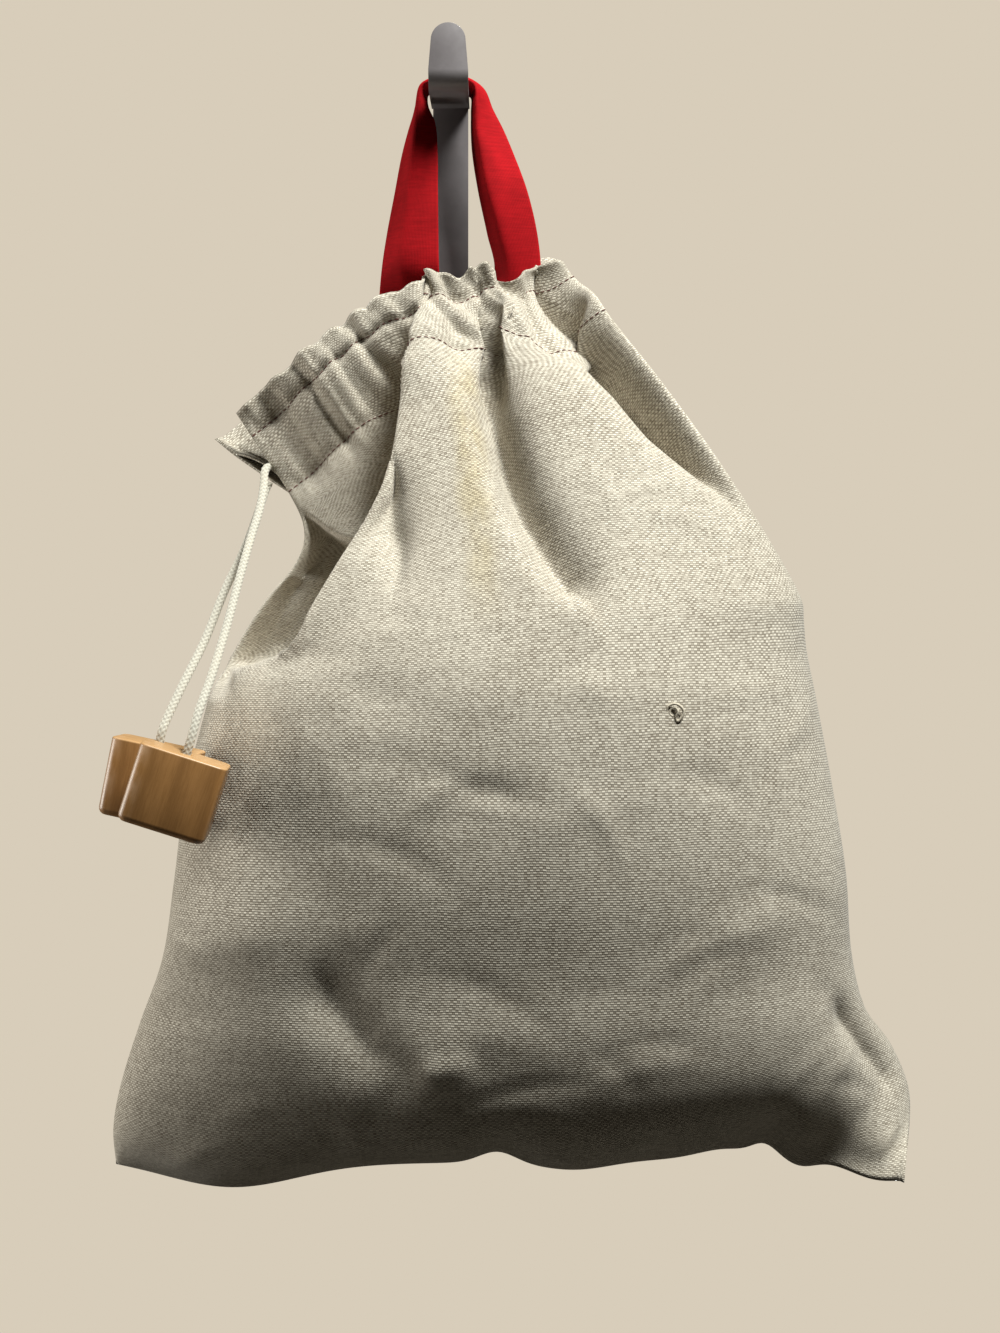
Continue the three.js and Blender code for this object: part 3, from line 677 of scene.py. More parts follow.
def along(rows, key, column, value):
    """A smooth curve through one column of a table, read at values of its key column."""
    keys, values = rows[key], rows[column]
    if keys[0] > keys[-1]:
        keys, values = keys[::-1], values[::-1]
    before = np.maximum(np.arange(len(keys)) - 1, 0)
    after = np.minimum(np.arange(len(keys)) + 1, len(keys) - 1)
    slope = (values[after] - values[before]) / (keys[after] - keys[before])
    i = np.clip(np.searchsorted(keys, value) - 1, 0, len(keys) - 2)
    step = keys[i + 1] - keys[i]
    t = np.clip((value - keys[i]) / step, 0, 1)
    rise, a, b = values[i + 1] - values[i], slope[i] * step, slope[i + 1] * step
    return values[i] + t * (a + t * (3 * rise - 2 * a - b + t * (a + b - 2 * rise)))


def across(share):
    """Columns run from -1 at the left to 1 at the right, closer together towards the two sides."""
    return -0.5 * (np.cos(np.pi * share) + 1 - 2 * share)


def to_path(path, x, z):
    """Distance to a path, positive at the right where it runs down, and the share of it at the nearest."""
    nearest, share = np.full(x.shape, np.inf), np.zeros(x.shape)
    for i, ((ax, az), (bx, bz)) in enumerate(zip(path, path[1:])):
        onward, below = bx - ax, bz - az
        t = np.clip(((x - ax) * onward + (z - az) * below) / (onward**2 + below**2), 0, 1)
        side = np.sign((z - az) * onward - (x - ax) * below)
        distance = np.hypot(x - ax - t * onward, z - az - t * below)
        closer = distance < np.abs(nearest)
        share = np.where(closer, (i + t) / (len(path) - 1), share)
        nearest = np.where(closer, side * distance, nearest)
    return nearest, share


sides = [along(SECTIONS, "down", side, SEAM / 2) for side in ("leftX", "rightX")]
print("halfway down the bag is", round(sides[1] - sides[0]), "mm wide")

# %% [markdown]
# A section gives the line from side to side, and a bulge gives it depth. That makes a smooth bag without
# folds. Subdividing a box and pushing it about would give a bag too, but here each form can be traced to
# a number. At the left the back of the casing stands apart from the front, because its two ends are not
# sewn together.

# %% The smooth bag
SPLIT = np.array((-9, 7, -9))
NORMAL_STEP = 2e-3


def unit(vectors):
    return vectors / np.linalg.norm(vectors, axis=-1, keepdims=True)


def section_line(share, down):
    """The section at a distance down the cloth, with its x and z at a share of the way across."""
    at = {name: along(SECTIONS, "down", name, down) for name in SECTIONS if name != "down"}
    place = across(share)
    at["half"] = (at["rightX"] - at["leftX"]) / 2
    at["place"] = place
    at["x"] = (at["leftX"] + at["rightX"]) / 2 + at["half"] * place
    z = at["leftZ"] + (at["rightZ"] - at["leftZ"]) * (place + 1) / 2 + at["crown"] * np.cos(place * np.pi / 2)
    for level, reach, lobes in LOBES:
        for x, rise, width in lobes:
            z = z + rise * bell(down - level, reach) * bell(at["x"] - x, width)
    at["z"] = z
    at["past"] = at["x"] - along(RIDGE, "z", "x", z)
    at["above_foot"] = smoothstep(RIDGE_FOOT, RIDGE_FOOT + RIDGE_FADE, z)
    at["behind"] = smoothstep(ROLL_START, ROLL_END, at["past"]) * at["above_foot"]
    below_flap = smoothstep(FLAP_SOFT, -FLAP_SOFT, to_path(FLAP_EDGE, at["x"], z)[0])
    at["side"] = at["rightY"] + (at["leftY"] - at["rightY"]) * ((1 - place) / 2) ** 2
    at["recess"] = RECESS * at["behind"] * below_flap * smoothstep(-1, RECESS_FROM, place)
    return at


def front_base(share, down):
    at = section_line(share, down)
    bulge = np.maximum(0, 1 - at["place"] ** 2) ** (ROUNDNESS / 2)
    depth = bulge * (1 - along(RIDGE, "z", "set_back", at["z"]) * at["behind"])
    side = at["side"] + at["recess"]
    y = side + (at["frontY"] - side) * depth
    lean = along(FLANK_LEAN, "down", "forward", down) * smoothstep(-1, LEAN_SIDE, at["place"])
    y = y - lean * smoothstep(LEAN_FROM, LEAN_FULL, at["past"])
    roll = along(RIDGE, "z", "roll", at["z"]) * at["above_foot"]
    x = at["x"] - roll * at["past"] / ROLL_WIDTH * np.exp(0.5 - 0.5 * (at["past"] / ROLL_WIDTH) ** 2)
    return np.stack([x, y, at["z"]], axis=-1)


def back_base(share, down):
    at = section_line(share, down)
    bulge = np.maximum(0, 1 - at["place"] ** 2) ** (BACK_ROUNDNESS / 2)
    y = at["side"] + (at["backY"] - at["side"]) * bulge
    apart = np.maximum(0, 1 - down / CASING) * ((1 - at["place"]) / 2) ** 4
    return np.stack([at["x"], y, at["z"]], axis=-1) + apart[..., None] * SPLIT


def normal_of(base, share, down):
    right = base(np.minimum(1, share + NORMAL_STEP), down) - base(np.maximum(0, share - NORMAL_STEP), down)
    below = base(share, np.minimum(SEAM, down + 1)) - base(share, np.maximum(0, down - 1))
    return unit(np.cross(below, right) if base is front_base else np.cross(right, below))


belly = front_base(np.array([0.5]), np.array([SEAM / 2]))[0]
print("there its front stands", round(-belly[1]), "mm from the wall")

# %% [markdown]
# The folds then move each point along the normal of the smooth bag. A fold is sharpest along its path and
# fades towards both ends, as a fold in hung cloth does.

# %% Relief of the folds
FOLD_FULL_FROM = 0.35
FOLD_FULL_TO = 0.55


def crease(distance, width):
    """Like a bell, with a sharper middle."""
    return np.exp(-np.abs(distance / width) ** 1.5)


def fold_relief(x, z):
    relief = np.zeros(x.shape)
    for depth, left, right, start, end, path in FOLDS:
        distance, share = to_path(path, x, z)
        from_start = start + (1 - start) * smoothstep(0, FOLD_FULL_FROM, share)
        to_end = end + (1 - end) * smoothstep(1, FOLD_FULL_TO, share)
        width = np.where(distance < 0, left, right)
        relief -= depth * np.minimum(from_start, to_end) * crease(distance, width)
    return relief


print("the deepest fold is", max(fold[0] for fold in FOLDS), "mm deep")

# %% [markdown]
# Below the size of those folds, worn linen is never smooth. Short shallow creases lie over it at all
# angles, and the gathers of the casing break up into narrower pleats, each steep on one side, as cloth
# does when a cord draws it up. Both come from loops with a fixed seed, so they fall in the same places
# each time.

# %% Small creases and pleats
CREASE_COUNT = 110
PLEAT_COUNT = 25
PLEAT_REACH = 9
chance = np.random.default_rng(11)
CREASES = [
    (
        chance.uniform(-112, 158), chance.uniform(-362, -120), chance.normal(0.15, 0.7),
        chance.uniform(9, 24), chance.uniform(2.6, 5.5), chance.uniform(-0.75, 0.75),
    )
    for _ in range(CREASE_COUNT)
]
PLEATS = [
    (place + chance.uniform(-0.02, 0.02), chance.uniform(0.5, 1.3), chance.uniform(1.6, 2.8))
    for place in np.linspace(-0.96, 0.96, PLEAT_COUNT)
]


def crumple(x, z):
    relief = np.zeros(x.shape)
    for middle_x, middle_z, angle, length, width, depth in CREASES:
        c, s = math.cos(angle), math.sin(angle)
        onward = (x - middle_x) * c + (z - middle_z) * s
        sideways = (z - middle_z) * c - (x - middle_x) * s
        relief += depth * bell(onward, length) * bell(sideways + onward**2 / (6 * length), width)
    return relief


def gather_relief(gathers, at, down):
    relief = np.zeros(down.shape)
    for place, depth, width, reach in gathers:
        fade = np.where(down < CASING, 1, bell(down - CASING, reach))
        distance = (at["place"] - place) * at["half"]
        relief -= depth * fade * crease(distance, np.where(distance < 0, 0.75, 1.2) * width)
    return relief


def pleat_relief(at, down):
    relief = np.zeros(down.shape)
    fade = np.where(down < CASING, 1, bell(down - CASING, PLEAT_REACH))
    for place, depth, width in PLEATS:
        distance = (at["place"] - place) * at["half"]
        relief -= depth * fade * bell(distance, np.where(distance < 0, 0.7, 1.4) * width)
    return relief


print(len(CREASES), "creases and", len(PLEATS), "pleats")

# %% [markdown]
# All the reliefs are added up for a point of the front or the back. They fade out at the two sides and at
# the bottom seam, where front and back meet, and where the front turns away to the side.

# %% The rule for a point of the bag
CORD_ROUND = 1.2
FRILL_FLARE = 3
HEADING_DRAW = 1.1
CASING_DRAW = 0.7
SIDE_FADE = 0.06
SEAM_FADE = 16
CRUMPLE_FROM = 40
CRUMPLE_FULL = 90
FACING_GAIN = 1.5
BACK_MIRROR = 60  # the back has the front's small creases, mirrored about half this x


def casing_relief(down):
    """The cord fills the casing, the two rows of stitches draw it in, and the frill above them flares."""
    between = np.clip((down - HEADING) / (CASING - HEADING), 0, 1)
    drawn_in = HEADING_DRAW * bell(down - HEADING, 2) + CASING_DRAW * bell(down - CASING, 2.2)
    flare = FRILL_FLARE * np.clip(1 - down / HEADING, 0, 1) ** 1.3
    return CORD_ROUND * np.sin(np.pi * between) + flare - drawn_in


def edge_fade(share, down):
    sides = smoothstep(0, SIDE_FADE, share) * smoothstep(1, 1 - SIDE_FADE, share)
    return sides * smoothstep(0, SEAM_FADE, SEAM - down)


def front_point(share, down):
    at = section_line(share, down)
    relief = gather_relief(FRONT_GATHERS, at, down) + fold_relief(at["x"], at["z"]) + casing_relief(down)
    crumpled = smoothstep(CRUMPLE_FROM, CRUMPLE_FULL, down)
    relief = relief + pleat_relief(at, down) + crumple(at["x"], at["z"]) * crumpled
    relief = relief * edge_fade(share, down)
    normal = normal_of(front_base, share, down)
    facing = np.clip(-FACING_GAIN * normal[..., 1], 0, 1)
    return front_base(share, down) + (relief * facing)[..., None] * normal


def back_point(share, down):
    at = section_line(share, down)
    relief = gather_relief(BACK_GATHERS, at, down) + casing_relief(down) + pleat_relief(at, down)
    crumpled = smoothstep(CRUMPLE_FROM, CRUMPLE_FULL, down)
    relief = relief + crumple(BACK_MIRROR - at["x"], at["z"]) * crumpled
    relief = relief * edge_fade(share, down)
    return back_base(share, down) + relief[..., None] * normal_of(back_base, share, down)


top_middle = front_point(np.array([0.5]), np.array([0.0]))[0]
print("mouth edge at", top_middle.round(1), "mm in the middle of the front")

# %% [markdown]
# Linen in plain weave: thick and thin threads cross at about one a millimetre, and each shows as a row of
# small lit crowns with shade between them. The weave reads the cloth's own map, in metres of cloth, so
# that it follows the folds. Slubs are threads that thicken and pale for a while, and come from noise
# stretched along the thread. An old yellow stain runs down the front below the casing, as a mask that
# leans and breaks up into blots.

# %% Linen
WARP = 1.05
WEFT = 0.83
STAIN_X = 9
STAIN_Z = -118
STAIN_LEAN = 0.1
STAIN_WIDTH = 9
STAIN_HEIGHT = 60
STAIN_SHARE = 0.7
STAIN_COLOR = (0.9, 0.81, 0.52)
LINEN_SHADE = (0.142, 0.112, 0.076)
LINEN_LIT = (0.67, 0.625, 0.525)


def linen(tree):
    cloth = tree.add("ShaderNodeUVMap", {"uv_map": "cloth"})
    place = tree.add("ShaderNodeTexCoord", None, out=3)
    u, v, _ = tree.parts(cloth)
    drift = tree.noise(cloth, 70, 2)
    warp = u / (WARP * MM) + drift * 1.6
    weft = v / (WEFT * MM) + drift * 1.9
    across_warp = (warp * math.pi).sin()
    across_weft = (weft * math.pi).sin()
    warp_over = (across_warp * across_weft).step(-0.1, 0.4)
    warp_crown = abs(across_warp) ** 0.9 * abs(across_weft) ** 0.5 * 0.62
    weft_crown = abs(across_weft) ** 0.7
    crown = warp_crown * warp_over + weft_crown * (1 - warp_over)

    warp_thread, weft_thread = warp.floor(), weft.floor()
    warp_tone = tree.noise(tree.point(warp_thread * 7.3, v * 55, 0), 1, 2)
    weft_tone = tree.noise(tree.point(u * 55, weft_thread * 7.3, 5), 1, 2)
    tone = warp_tone * warp_over + weft_tone * (1 - warp_over)
    crossing_place = tree.point(warp_thread, weft_thread, 0)
    crossing = tree.add("ShaderNodeTexWhiteNoise", {"noise_dimensions": "2D"}, [crossing_place])
    cloud = tree.noise(place, 22, 3)
    shade = crown * 0.7 + (tone - 0.5) * 0.4 + (crossing - 0.5) * 0.25 + (cloud - 0.5) * 0.25 + 0.16
    color = tree.mix(shade.step(0.05, 1.05), LINEN_SHADE, LINEN_LIT)

    x, y, z = tree.parts(place)
    blot = tree.noise(tree.point(x * 90, y * 90, z * 30), 1, 3)
    streak = (x + (z - STAIN_Z * MM) * STAIN_LEAN) / MM - STAIN_X
    streak = (1 - abs(streak).step(1, STAIN_WIDTH)) * (1 - abs(z / MM - STAIN_Z).step(20, STAIN_HEIGHT))
    front = 1 - (y / MM).step(-50, -40)
    stained = streak * front * blot.step(0.2, 0.75) * STAIN_SHARE
    color = tree.mix(stained, color, STAIN_COLOR, "MULTIPLY")

    height = crown * 0.7 + tone * 0.5
    bump = tree.add("ShaderNodeBump", None, {"Strength": 0.55, "Distance": 0.3 * MM, "Height": height})
    return {"Base Color": color, "Normal": bump}


linen_finish = finish("natural linen", (0.48, 0.42, 0.33), linen, roughness=0.92, sheen_weight=0.12)

# %% [markdown]
# The sheet is laid out as it was sewn. Its rows start at the inner edge of the hem, run up inside the
# casing, turn over at the mouth edge and go down the outside to the bottom seam. Its columns go once
# round the bag, from the left end of the front, over the fold at the right, to the left end of the back.
# The hem lies inside the outer cloth and stands off it between its two rows of stitches, as a tunnel for
# the cord.

# %% Lay out the sheet
FRONT_COLUMNS = 204
BACK_COLUMNS = 68
COLUMNS = FRONT_COLUMNS + BACK_COLUMNS
ROWS_PER_STRETCH = (
    (0, HEADING, 8), (HEADING, CASING, 20), (CASING, 64, 16), (64, 152, 40), (152, 334, 62), (334, SEAM, 24),
)
HEM_ROWS = 10
HEM_LOW = 0.8
HEM_TOP = 0.6
HEM_GAP = 1.2
TUNNEL = 3.2

stretches = [np.linspace(top, low, count, endpoint=False) for top, low, count in ROWS_PER_STRETCH]
outer_rows = np.concatenate(stretches + [[SEAM]])
hem_rows = np.linspace(CASING - HEM_LOW, HEM_TOP, HEM_ROWS)


def cloth_grid(rows):
    """Points of the outer face on those rows, once round the bag, with the normal of each."""
    front = np.meshgrid(np.linspace(0, 1, FRONT_COLUMNS + 1), rows)
    back = np.meshgrid(np.linspace(1, 0, BACK_COLUMNS + 1)[1:], rows)
    points = np.concatenate([front_point(*front), back_point(*back)], axis=1)
    onward = np.gradient(points, axis=1)
    below = np.gradient(points, axis=0) * np.sign(rows[-1] - rows[0])
    return points, unit(np.cross(below, onward))


outside, _ = cloth_grid(outer_rows)
hem, hem_normals = cloth_grid(hem_rows)
tunnel = np.sin(np.pi * np.clip((hem_rows - HEADING) / (CASING - HEADING), 0, 1)) ** 0.7
hem = hem - hem_normals * (HEM_GAP + TUNNEL * tunnel)[:, None, None]
grid = np.concatenate([hem, outside])
rows = np.concatenate([-hem_rows, outer_rows])
print("a sheet of", len(rows), "rows and", COLUMNS, "columns")

# %% [markdown]
# Four neighbours in the grid make a face. Below the casing's lower stitches the first and the last column
# are the same points, which is the side seam. Above them the two ends stay apart, so the tunnel is open
# there. The back has a third of the front's columns. So along the bottom seam each of its faces fans out
# to three of the front's columns, and no gap is left.

# %% Join the faces
split_row = HEM_ROWS + int(np.searchsorted(outer_rows, CASING))
last_row = len(rows) - 1
index = np.arange(grid.shape[0] * grid.shape[1]).reshape(grid.shape[:2])
index[split_row:, COLUMNS] = index[split_row:, 0]

corners = []
for r in range(last_row):
    last_strip = r == last_row - 1
    for c in range(FRONT_COLUMNS if last_strip else COLUMNS):
        corners.append([(r, c), (r + 1, c), (r + 1, c + 1), (r, c + 1)])
share_out = FRONT_COLUMNS // BACK_COLUMNS
for k in range(BACK_COLUMNS):
    r, c, low = last_row - 1, FRONT_COLUMNS + k, FRONT_COLUMNS - share_out * k
    for j in range(share_out):
        corners.append([(r, c + (j > 0)), (r + 1, low - j), (r + 1, low - j - 1)])
    corners.append([(r, c), (r + 1, low - 1), (r, c + 1)])
print(len(corners), "faces")

# %% [markdown]
# The map says where each point lay on the flat cloth, by its distance round the bag and down its middle.
# Without it the weave would stretch wherever the cloth turns. A Solidify modifier then gives the sheet
# the thickness of linen.

# %% Sew the bag
LINEN_THICKNESS = 0.7

round_bag = np.cumsum(np.linalg.norm(np.diff(grid, axis=1, prepend=grid[:, :1]), axis=2), axis=1)
round_bag -= round_bag[:, FRONT_COLUMNS // 2, None]
round_bag[rows < CASING] = round_bag[split_row + 1]
middle = grid[:, FRONT_COLUMNS // 2]
down_bag = np.cumsum(np.linalg.norm(np.diff(middle, axis=0, prepend=middle[:1]), axis=1))


def flat_place(corner):
    r, c = corner
    if r == last_row and c > FRONT_COLUMNS:
        c = FRONT_COLUMNS
    return round_bag[r, c] * MM, down_bag[r] * MM


bag_faces = [[int(index[corner]) for corner in face] for face in corners]
bag = piece("linen_bag", grid.reshape(-1, 3), bag_faces, linen_finish)
cloth_map = bag.data.uv_layers.new(name="cloth")
cloth_map.data.foreach_set("uv", [n for face in corners for corner in face for n in flat_place(corner)])
sewn = bmesh.new()
sewn.from_mesh(bag.data)
bmesh.ops.delete(sewn, geom=[vert for vert in sewn.verts if not vert.link_faces], context="VERTS")
sewn.to_mesh(bag.data)
sewn.free()
thick = bag.modifiers.new("linen", "SOLIDIFY")
thick.thickness = LINEN_THICKNESS * MM
thick.offset = -1
settle(bag)
seat(bag, "linen", "bag")

# %% [markdown]
# Two rows of lockstitch hold the casing: one under the frill, one at the hem. The thread is dark red.
# Each stitch is a small rounded bar that lies on the cloth, a little faded here and there.


# %% Dark red thread
def thread(tree):
    place = tree.add("ShaderNodeTexCoord", None, out=3)
    twist = tree.noise(place, 3000, 2)
    fade = tree.noise(place, 60, 2)
    color = tree.mix(twist, (0.05, 0.012, 0.01), (0.16, 0.05, 0.04))
    color = tree.mix(fade.step(0.4, 0.7) * 0.5, color, (0.13, 0.08, 0.055))
    return {"Base Color": color}


thread_finish = finish("dark red thread", (0.12, 0.03, 0.03), thread, roughness=0.8)

# %% [markdown]
# Hundreds of stitches are too many to set by hand. Geometry Nodes set one at each step along the lines,
# turn it to the line and vary its length a little, with a fixed seed.


# %% Tree of the stitches
def stitch_tree():
    """Lines become rows of small bars."""
    tree, (lines, step, length, thickness, seed, material) = node_group("row of stitches", "Stitches", {
        "Lines": "Geometry", "Step": "Float", "Length": "Float",
        "Thickness": "Float", "Seed": "Int", "Finish": "Material",
    })
    places = tree.add("GeometryNodeCurveToPoints", {"mode": "LENGTH"}, {"Curve": lines, "Length": step})
    turns = Value(tree, places.socket.node.outputs["Rotation"])
    bar = tree.add("GeometryNodeMeshUVSphere", None, {"Segments": 8, "Rings": 6, "Radius": 0.5})
    vary = tree.add("FunctionNodeRandomValue", {"data_type": "FLOAT"}, {2: 0.85, 3: 1.1, 8: seed}, out=1)
    size = tree.point(thickness, thickness, length * vary)
    inputs = {"Points": places, "Instance": bar, "Rotation": turns, "Scale": size}
    return dress(tree, tree.add("GeometryNodeInstanceOnPoints", None, inputs), material)


row_of_stitches = stitch_tree()

# %% [markdown]
# A row of stitches follows the cloth at one distance down from the mouth edge, from side to side of the
# front and of the back. The line is lifted a little, so that the thread lies on the cloth and not in it.

# %% Sew the casing
STITCH_STEP = 2.6
STITCH_LENGTH = 2.0
STITCH_LIFT = 0.12
STITCH_SEED = 3
THREAD_THICKNESS = 0.5
ROW_START = 0.012
ROW_POINTS = 500


def stitch_line(point_at, base, down):
    share = np.linspace(ROW_START, 1 - ROW_START, ROW_POINTS)
    level = np.full(share.shape, float(down))
    return point_at(share, level) + STITCH_LIFT * normal_of(base, share, level)


lines = [stitch_line(front_point, front_base, down) for down in (HEADING, CASING)]
lines += [stitch_line(back_point, back_base, down) for down in (HEADING, CASING)]
sizes = {
    "Step": STITCH_STEP * MM,
    "Length": STITCH_LENGTH * MM,
    "Thickness": THREAD_THICKNESS * MM,
    "Seed": STITCH_SEED,
    "Finish": thread_finish,
}
stitches = through_nodes("casing_stitches", lines, row_of_stitches, sizes)
seat(stitches, "red_tape")

# %% [markdown]
# One thread was caught on something and stands out on the front as a small tuft. It is a single yarn, so
# it is a tube along a curve. The curve's points are given about a place on the front: an arch, and
# an end that curls back under it, both just off the cloth.

# %% Pulled thread
YARN = 0.9
YARN_SIDES = 8
YARN_STEPS = 6
SNAG_X = 77.5
SNAG_Z = -203.3
TANGLE = (
    (-2.2, -0.2, -1.9), (-2.8, -0.4, 0.4), (-2.2, -0.7, 2.2), (-0.3, -0.9, 3), (1.7, -0.8, 2.2),
    (2.8, -0.5, 0.6), (2.2, -0.4, -1.4), (0.8, -0.3, -2.9), (0.2, -0.5, -1.6), (0.9, -0.9, 0.4),
    (0.2, -0.7, 1.6), (-1.4, -0.4, 1.2), (-1.8, -0.3, -0.3), (-0.8, -0.2, -1.2),
)


def front_at(x, z):
    """The share and the distance down at which the front passes a place, by a search over a fine grid."""
    share, down = np.meshgrid(np.linspace(0.3, 0.95, 260), np.linspace(150, 260, 220))
    found = front_base(share, down)
    best = np.argmin((found[..., 0] - x) ** 2 + (found[..., 2] - z) ** 2)
    return share.flat[best : best + 1], down.flat[best : best + 1]


def thread_tube(name, line, diameter, sides, material):
    """A round thread along a line of points, with closed ends."""
    tangent = unit(np.gradient(line, axis=0))
    into_cloth = (0.1, 0.98, 0.17)
    first = unit(np.cross(tangent, into_cloth))
    second = np.cross(tangent, first)
    points = []
    for at, a, b in zip(line, first, second):
        for i in range(sides):
            angle = 2 * math.pi * i / sides
            points.append(at + diameter / 2 * (a * math.cos(angle) + b * math.sin(angle)))
    faces = [tuple(reversed(range(sides))), tuple(range(len(points) - sides, len(points)))]
    for row in range(len(line) - 1):
        for i in range(sides):
            a, b = row * sides + i, row * sides + (i + 1) % sides
            faces.append((a, b, b + sides, a + sides))
    return piece(name, points, faces, material)


def yarn(tree):
    place = tree.add("ShaderNodeTexCoord", None, out=3)
    twist = tree.noise(place, 1800, 2)
    return {"Base Color": tree.mix(twist, (0.34, 0.29, 0.21), (0.74, 0.68, 0.56))}


yarn_finish = finish("linen yarn", (0.48, 0.42, 0.33), yarn, roughness=0.95)
snag_at = front_point(*front_at(SNAG_X, SNAG_Z))[0]
snag = thread_tube("pulled_thread", snag_at + smooth_line(TANGLE, YARN_STEPS), YARN, YARN_SIDES, yarn_finish)
seat(snag, "linen")
print("pulled thread at", snag_at.round(1))

# %% [markdown]
# The bag hangs by a red tape, sewn inside the back of its casing at both ends. Over the prong of the hook
# the tape is squeezed into a narrow fold, and below it opens out towards the casing. It is one strip,
# folded along its middle: each row gives its outer edge, its crease and its inner edge.

# %% Shape of the hanging loop
TAPE_ROWS = np.array([
    [-27, -13, -76, -15, -12.7, -76, -3, -12.6, -76],
    [-26.9, -13.5, -50, -16, -15.2, -50, -3.3, -15.2, -50],
    [-25.5, -17, -38, -18, -22.5, -38, -4, -21.5, -38],
    [-23.5, -15, -24, -17, -24, -24, -4.2, -22.5, -24],
    [-20.8, -13, -9, -15.6, -24.5, -9, -4.4, -22.5, -9],
    [-18, -12.5, 6, -14.4, -25.5, 6, -4.6, -22.5, 6],
    [-15.4, -12.5, 16, -13.2, -26.5, 16, -5.6, -22, 16],
    [-13.2, -12.5, 23, -12, -27, 23, -8.4, -20, 23],
    [-11.6, -12.5, 30, -10.6, -27.5, 29.5, -8.3, -19, 27.6],
    [-6, -12.5, 35, -5.5, -28, 32, -5, -18, 28.4],
    [0, -13, 36, 0, -28.5, 33, 0, -17, 28.4],
    [6.5, -15, 35, 5, -28, 32, 5, -16, 28.4],
    [12.6, -18, 30, 9.4, -27.5, 29.5, 8.3, -15.5, 27.6],
    [16, -19, 22, 9.8, -27.5, 22, 8.4, -15.5, 22],
    [20, -20, 14, 9.7, -27, 14, 8.4, -16, 14],
    [23.4, -20.5, 6, 11, -27, 6, 8.9, -16, 6],
    [29, -21, -9, 14, -26.5, -9, 11.2, -18, -9],
    [32.7, -20, -24, 18.2, -24, -24, 14.4, -17, -24],
    [34.4, -19.5, -38, 21.5, -21, -38, 17.2, -14, -38],
    [34.4, -19, -50, 22.4, -18, -50, 11.5, -15.5, -50],
    [35, -16.2, -76, 23, -13.8, -76, 11, -12.6, -76],
])
print(len(TAPE_ROWS), "rows along the tape")

# %% [markdown]
# The tape is finely woven red cotton. Its map runs along the strip, so the weave turns with the tape.

# %% Red cotton
TAPE_WEFT = 0.42
TAPE_WARP = 0.5


def red_cotton(tree):
    u, v, _ = tree.parts(tree.add("ShaderNodeUVMap", {"uv_map": "tape"}))
    weft = (v / (TAPE_WEFT * MM) * math.pi).sin()
    warp = (u / (TAPE_WARP * MM) * math.pi).sin()
    weave = abs(weft * warp)
    slub = tree.noise(tree.point(u * 120, v * 1400, 0), 1, 2)
    cloud = tree.noise(tree.point(u * 120, v * 60, 3), 1, 3)
    shade = weave * 0.35 + slub * 0.4 + cloud * 0.5
    color = tree.mix(shade.step(0.25, 1.0), (0.2, 0.001, 0.003), (0.5, 0.006, 0.011))
    bump = tree.add("ShaderNodeBump", None, {"Strength": 0.3, "Distance": 0.15 * MM, "Height": weave + slub})
    return {"Base Color": color, "Normal": bump}


tape_finish = finish(
    "red cotton tape", (0.45, 0.01, 0.015), red_cotton, roughness=0.85, specular_ior_level=0.12,
)

# %% [markdown]
# A smooth curve through each of the three lines gives the strip its length, and a blend across them
# rounds off the crease. A Solidify modifier then gives the strip its thickness.

# %% Hanging loop
TAPE_WIDTH = 24
TAPE_THICKNESS = 1.0
TAPE_CREASE = 0.15  # share of half the width that the crease rounds off
TAPE_STEPS = 12
TAPE_COLUMNS = 32

tape_lines = smooth_line(TAPE_ROWS, TAPE_STEPS).reshape(-1, 3, 1, 3)
outer_edge, tape_line, inner_edge = tape_lines[:, 0], tape_lines[:, 1], tape_lines[:, 2]
out = np.linspace(-1, 1, TAPE_COLUMNS + 1)[None, :, None]
to_outer = (np.hypot(out, TAPE_CREASE) - out) / 2
to_inner = (np.hypot(out, TAPE_CREASE) + out) / 2
tape_grid = tape_line + (outer_edge - tape_line) * to_outer + (inner_edge - tape_line) * to_inner

width = TAPE_COLUMNS + 1
tape_faces = [
    (r * width + c, r * width + c + 1, (r + 1) * width + c + 1, (r + 1) * width + c)
    for r in range(len(tape_grid) - 1)
    for c in range(TAPE_COLUMNS)
]
tape = piece("red_loop", tape_grid.reshape(-1, 3), tape_faces, tape_finish)
tape_down = np.concatenate([[0], np.cumsum(np.linalg.norm(np.diff(tape_line[:, 0], axis=0), axis=1))])
tape_map = tape.data.uv_layers.new(name="tape")
tape_corners = [vertex for face in tape_faces for vertex in face]
tape_flat = [(out.flat[i % width] * TAPE_WIDTH / 2 * MM, tape_down[i // width] * MM) for i in tape_corners]
tape_map.data.foreach_set("uv", [n for place in tape_flat for n in place])
thick = tape.modifiers.new("tape", "SOLIDIFY")
thick.thickness = TAPE_THICKNESS * MM
thick.offset = 0
settle(tape)
seat(tape, "red_tape", "hanging_loop")
print("tape", round(tape_down[-1]), "mm long")

# %% [markdown]
# The hook is flat steel strip under grey satin paint: a strip on the wall, and a prong that comes forward
# and turns up into a rounded tongue. The solid already has that shape, so a copy of its mesh is cleaned
# up and its edges get the small round that paint leaves on them.

# %% Wall hook
PAINT_ROUND = 0.5
MERGE = 0.02
FLAT_ANGLE = 2
EDGE_ANGLE = 40
SHARP_ANGLE = 35


def painted(tree):
    place = tree.add("ShaderNodeTexCoord", None, out=3)
    orange_peel = tree.noise(place, 900, 2)
    smear = tree.noise(place, 60, 4, 0.6)
    color = tree.mix(smear.step(0.3, 0.75), (0.15, 0.137, 0.14), (0.2, 0.185, 0.19))
    bump = tree.add("ShaderNodeBump", None, {"Strength": 0.12, "Distance": 0.1 * MM, "Height": orange_peel})
    return {"Base Color": color, "Roughness": smear * 0.2 + 0.32, "Normal": bump}


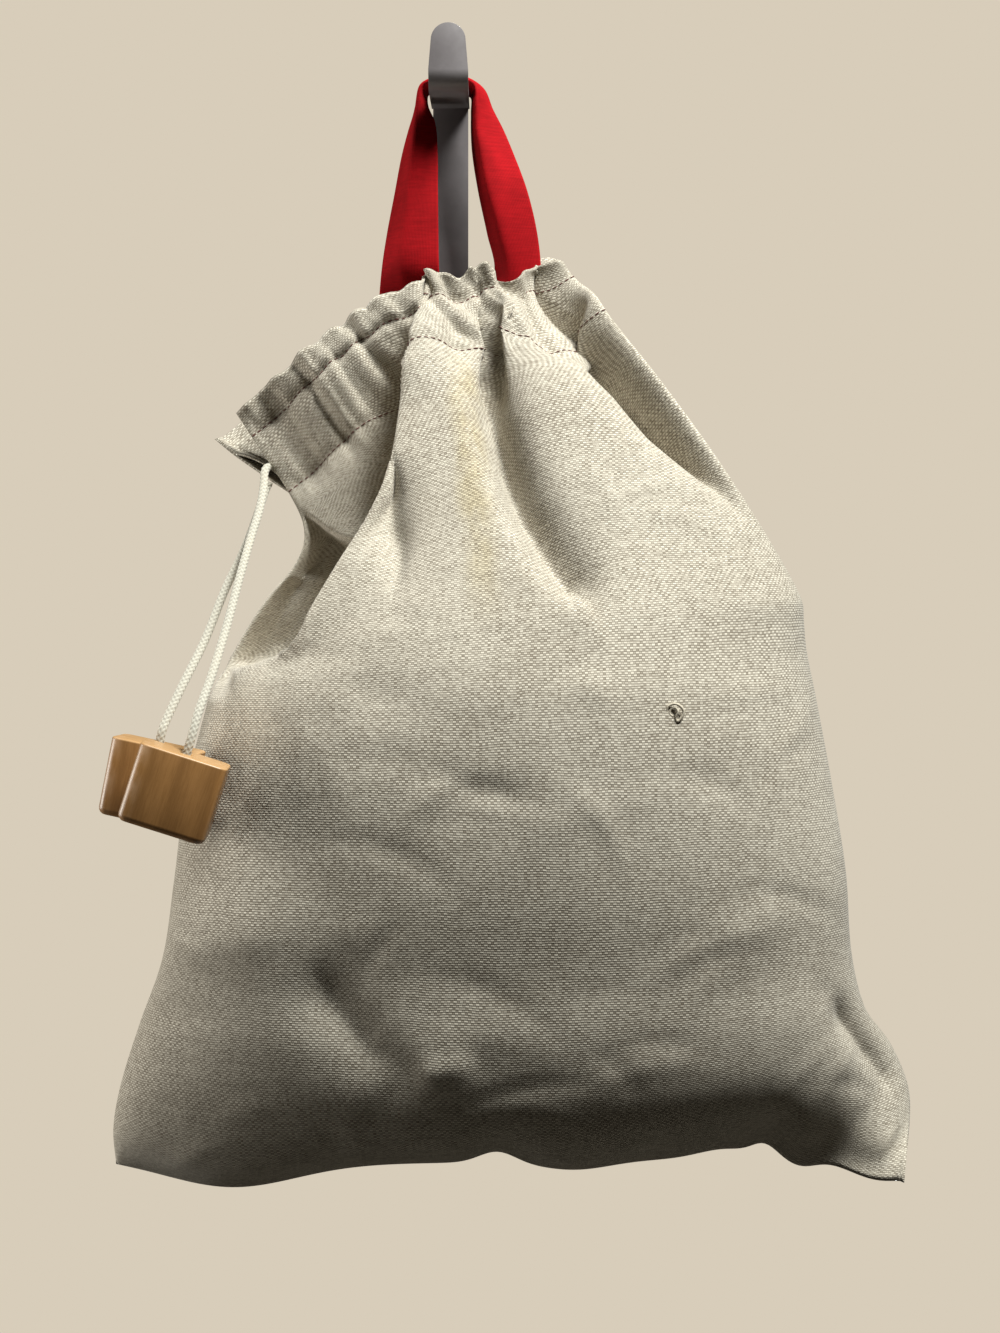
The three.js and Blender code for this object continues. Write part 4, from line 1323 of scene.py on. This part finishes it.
paint_finish = finish("grey satin paint", (0.33, 0.32, 0.34), painted, coat_weight=0.15)

hook = bpy.data.objects.new("painted_hook", bpy.data.objects["wall_hook"].data.copy())
bpy.context.scene.collection.objects.link(hook)
steel = bmesh.new()
steel.from_mesh(hook.data)
bmesh.ops.remove_doubles(steel, verts=steel.verts, dist=MERGE * MM)
bmesh.ops.dissolve_limit(steel, angle_limit=math.radians(FLAT_ANGLE), verts=steel.verts, edges=steel.edges)
steel.to_mesh(hook.data)
steel.free()
hook.data.materials.clear()
hook.data.materials.append(paint_finish)
soft_edge = hook.modifiers.new("paint", "BEVEL")
soft_edge.width = PAINT_ROUND * MM
soft_edge.segments = 3
soft_edge.limit_method = "ANGLE"
soft_edge.angle_limit = math.radians(EDGE_ANGLE)
settle(hook)
hook.data.polygons.foreach_set("use_smooth", [True] * len(hook.data.polygons))
hook.data.set_sharp_from_angle(angle=math.radians(SHARP_ANGLE))
seat(hook, "hook_steel", "wall_hook")

# %% [markdown]
# Plain soft studio light. The key lamp is above, in front and at the right, so that the folds throw soft
# shade to the left. A weak warm lamp at the left, level with the bag, only catches its left edge. The
# pale floor lies more than a metre below the bag. The world shows as plain beige behind it and lights it
# a little.

# %% Floor, light and background
FLOOR_Z = -1600
FLOOR_RADIUS = 550
FLOOR_SIDES = 96
FLOOR_COLOR = (0.6, 0.57, 0.52)
BACKGROUND = (0.686, 0.610, 0.491)
WORLD_LIGHT = 0.04


def lamp(name, place, target, size, power, color):
    data = bpy.data.lights.new(name, "AREA")
    data.size = size * MM
    data.energy = power
    data.color = color
    made = bpy.data.objects.new(name, data)
    made.location = Vector(place) * MM
    made.rotation_euler = (Vector(target) - Vector(place)).to_track_quat("-Z", "Y").to_euler()
    bpy.context.scene.collection.objects.link(made)
    print("lamp", name, power, "W")


lamp("key", (460, -520, 950), (30, -60, -120), 400, 40, (0.98, 0.99, 0.95))
lamp("left", (-800, -30, -180), (-90, -50, -250), 400, 5.5, (1, 0.97, 0.9))

pale = bpy.data.materials.new("pale floor")
pale.use_nodes = True
pale_shader = pale.node_tree.nodes["Principled BSDF"]
pale_shader.inputs["Base Color"].default_value = (*FLOOR_COLOR, 1)
pale_shader.inputs["Roughness"].default_value = 0.9
ring = [2 * math.pi * i / FLOOR_SIDES for i in range(FLOOR_SIDES)]
disc = [(FLOOR_RADIUS * math.cos(a), FLOOR_RADIUS * math.sin(a), FLOOR_Z) for a in ring]
floor = piece("floor", disc, [tuple(range(FLOOR_SIDES))], pale)

world = bpy.data.worlds.new("studio")
world.use_nodes = True
bpy.context.scene.world = world
sky = Tree(world.node_tree)
seen_straight = sky.add("ShaderNodeLightPath", None, out=0)
backdrop = world.node_tree.nodes["Background"]
backdrop.inputs["Color"].default_value = (*BACKGROUND, 1)
strength = seen_straight * (1 - WORLD_LIGHT) + WORLD_LIGHT
world.node_tree.links.new(strength.socket, backdrop.inputs["Strength"])
bpy.context.scene.view_settings.view_transform = "Standard"
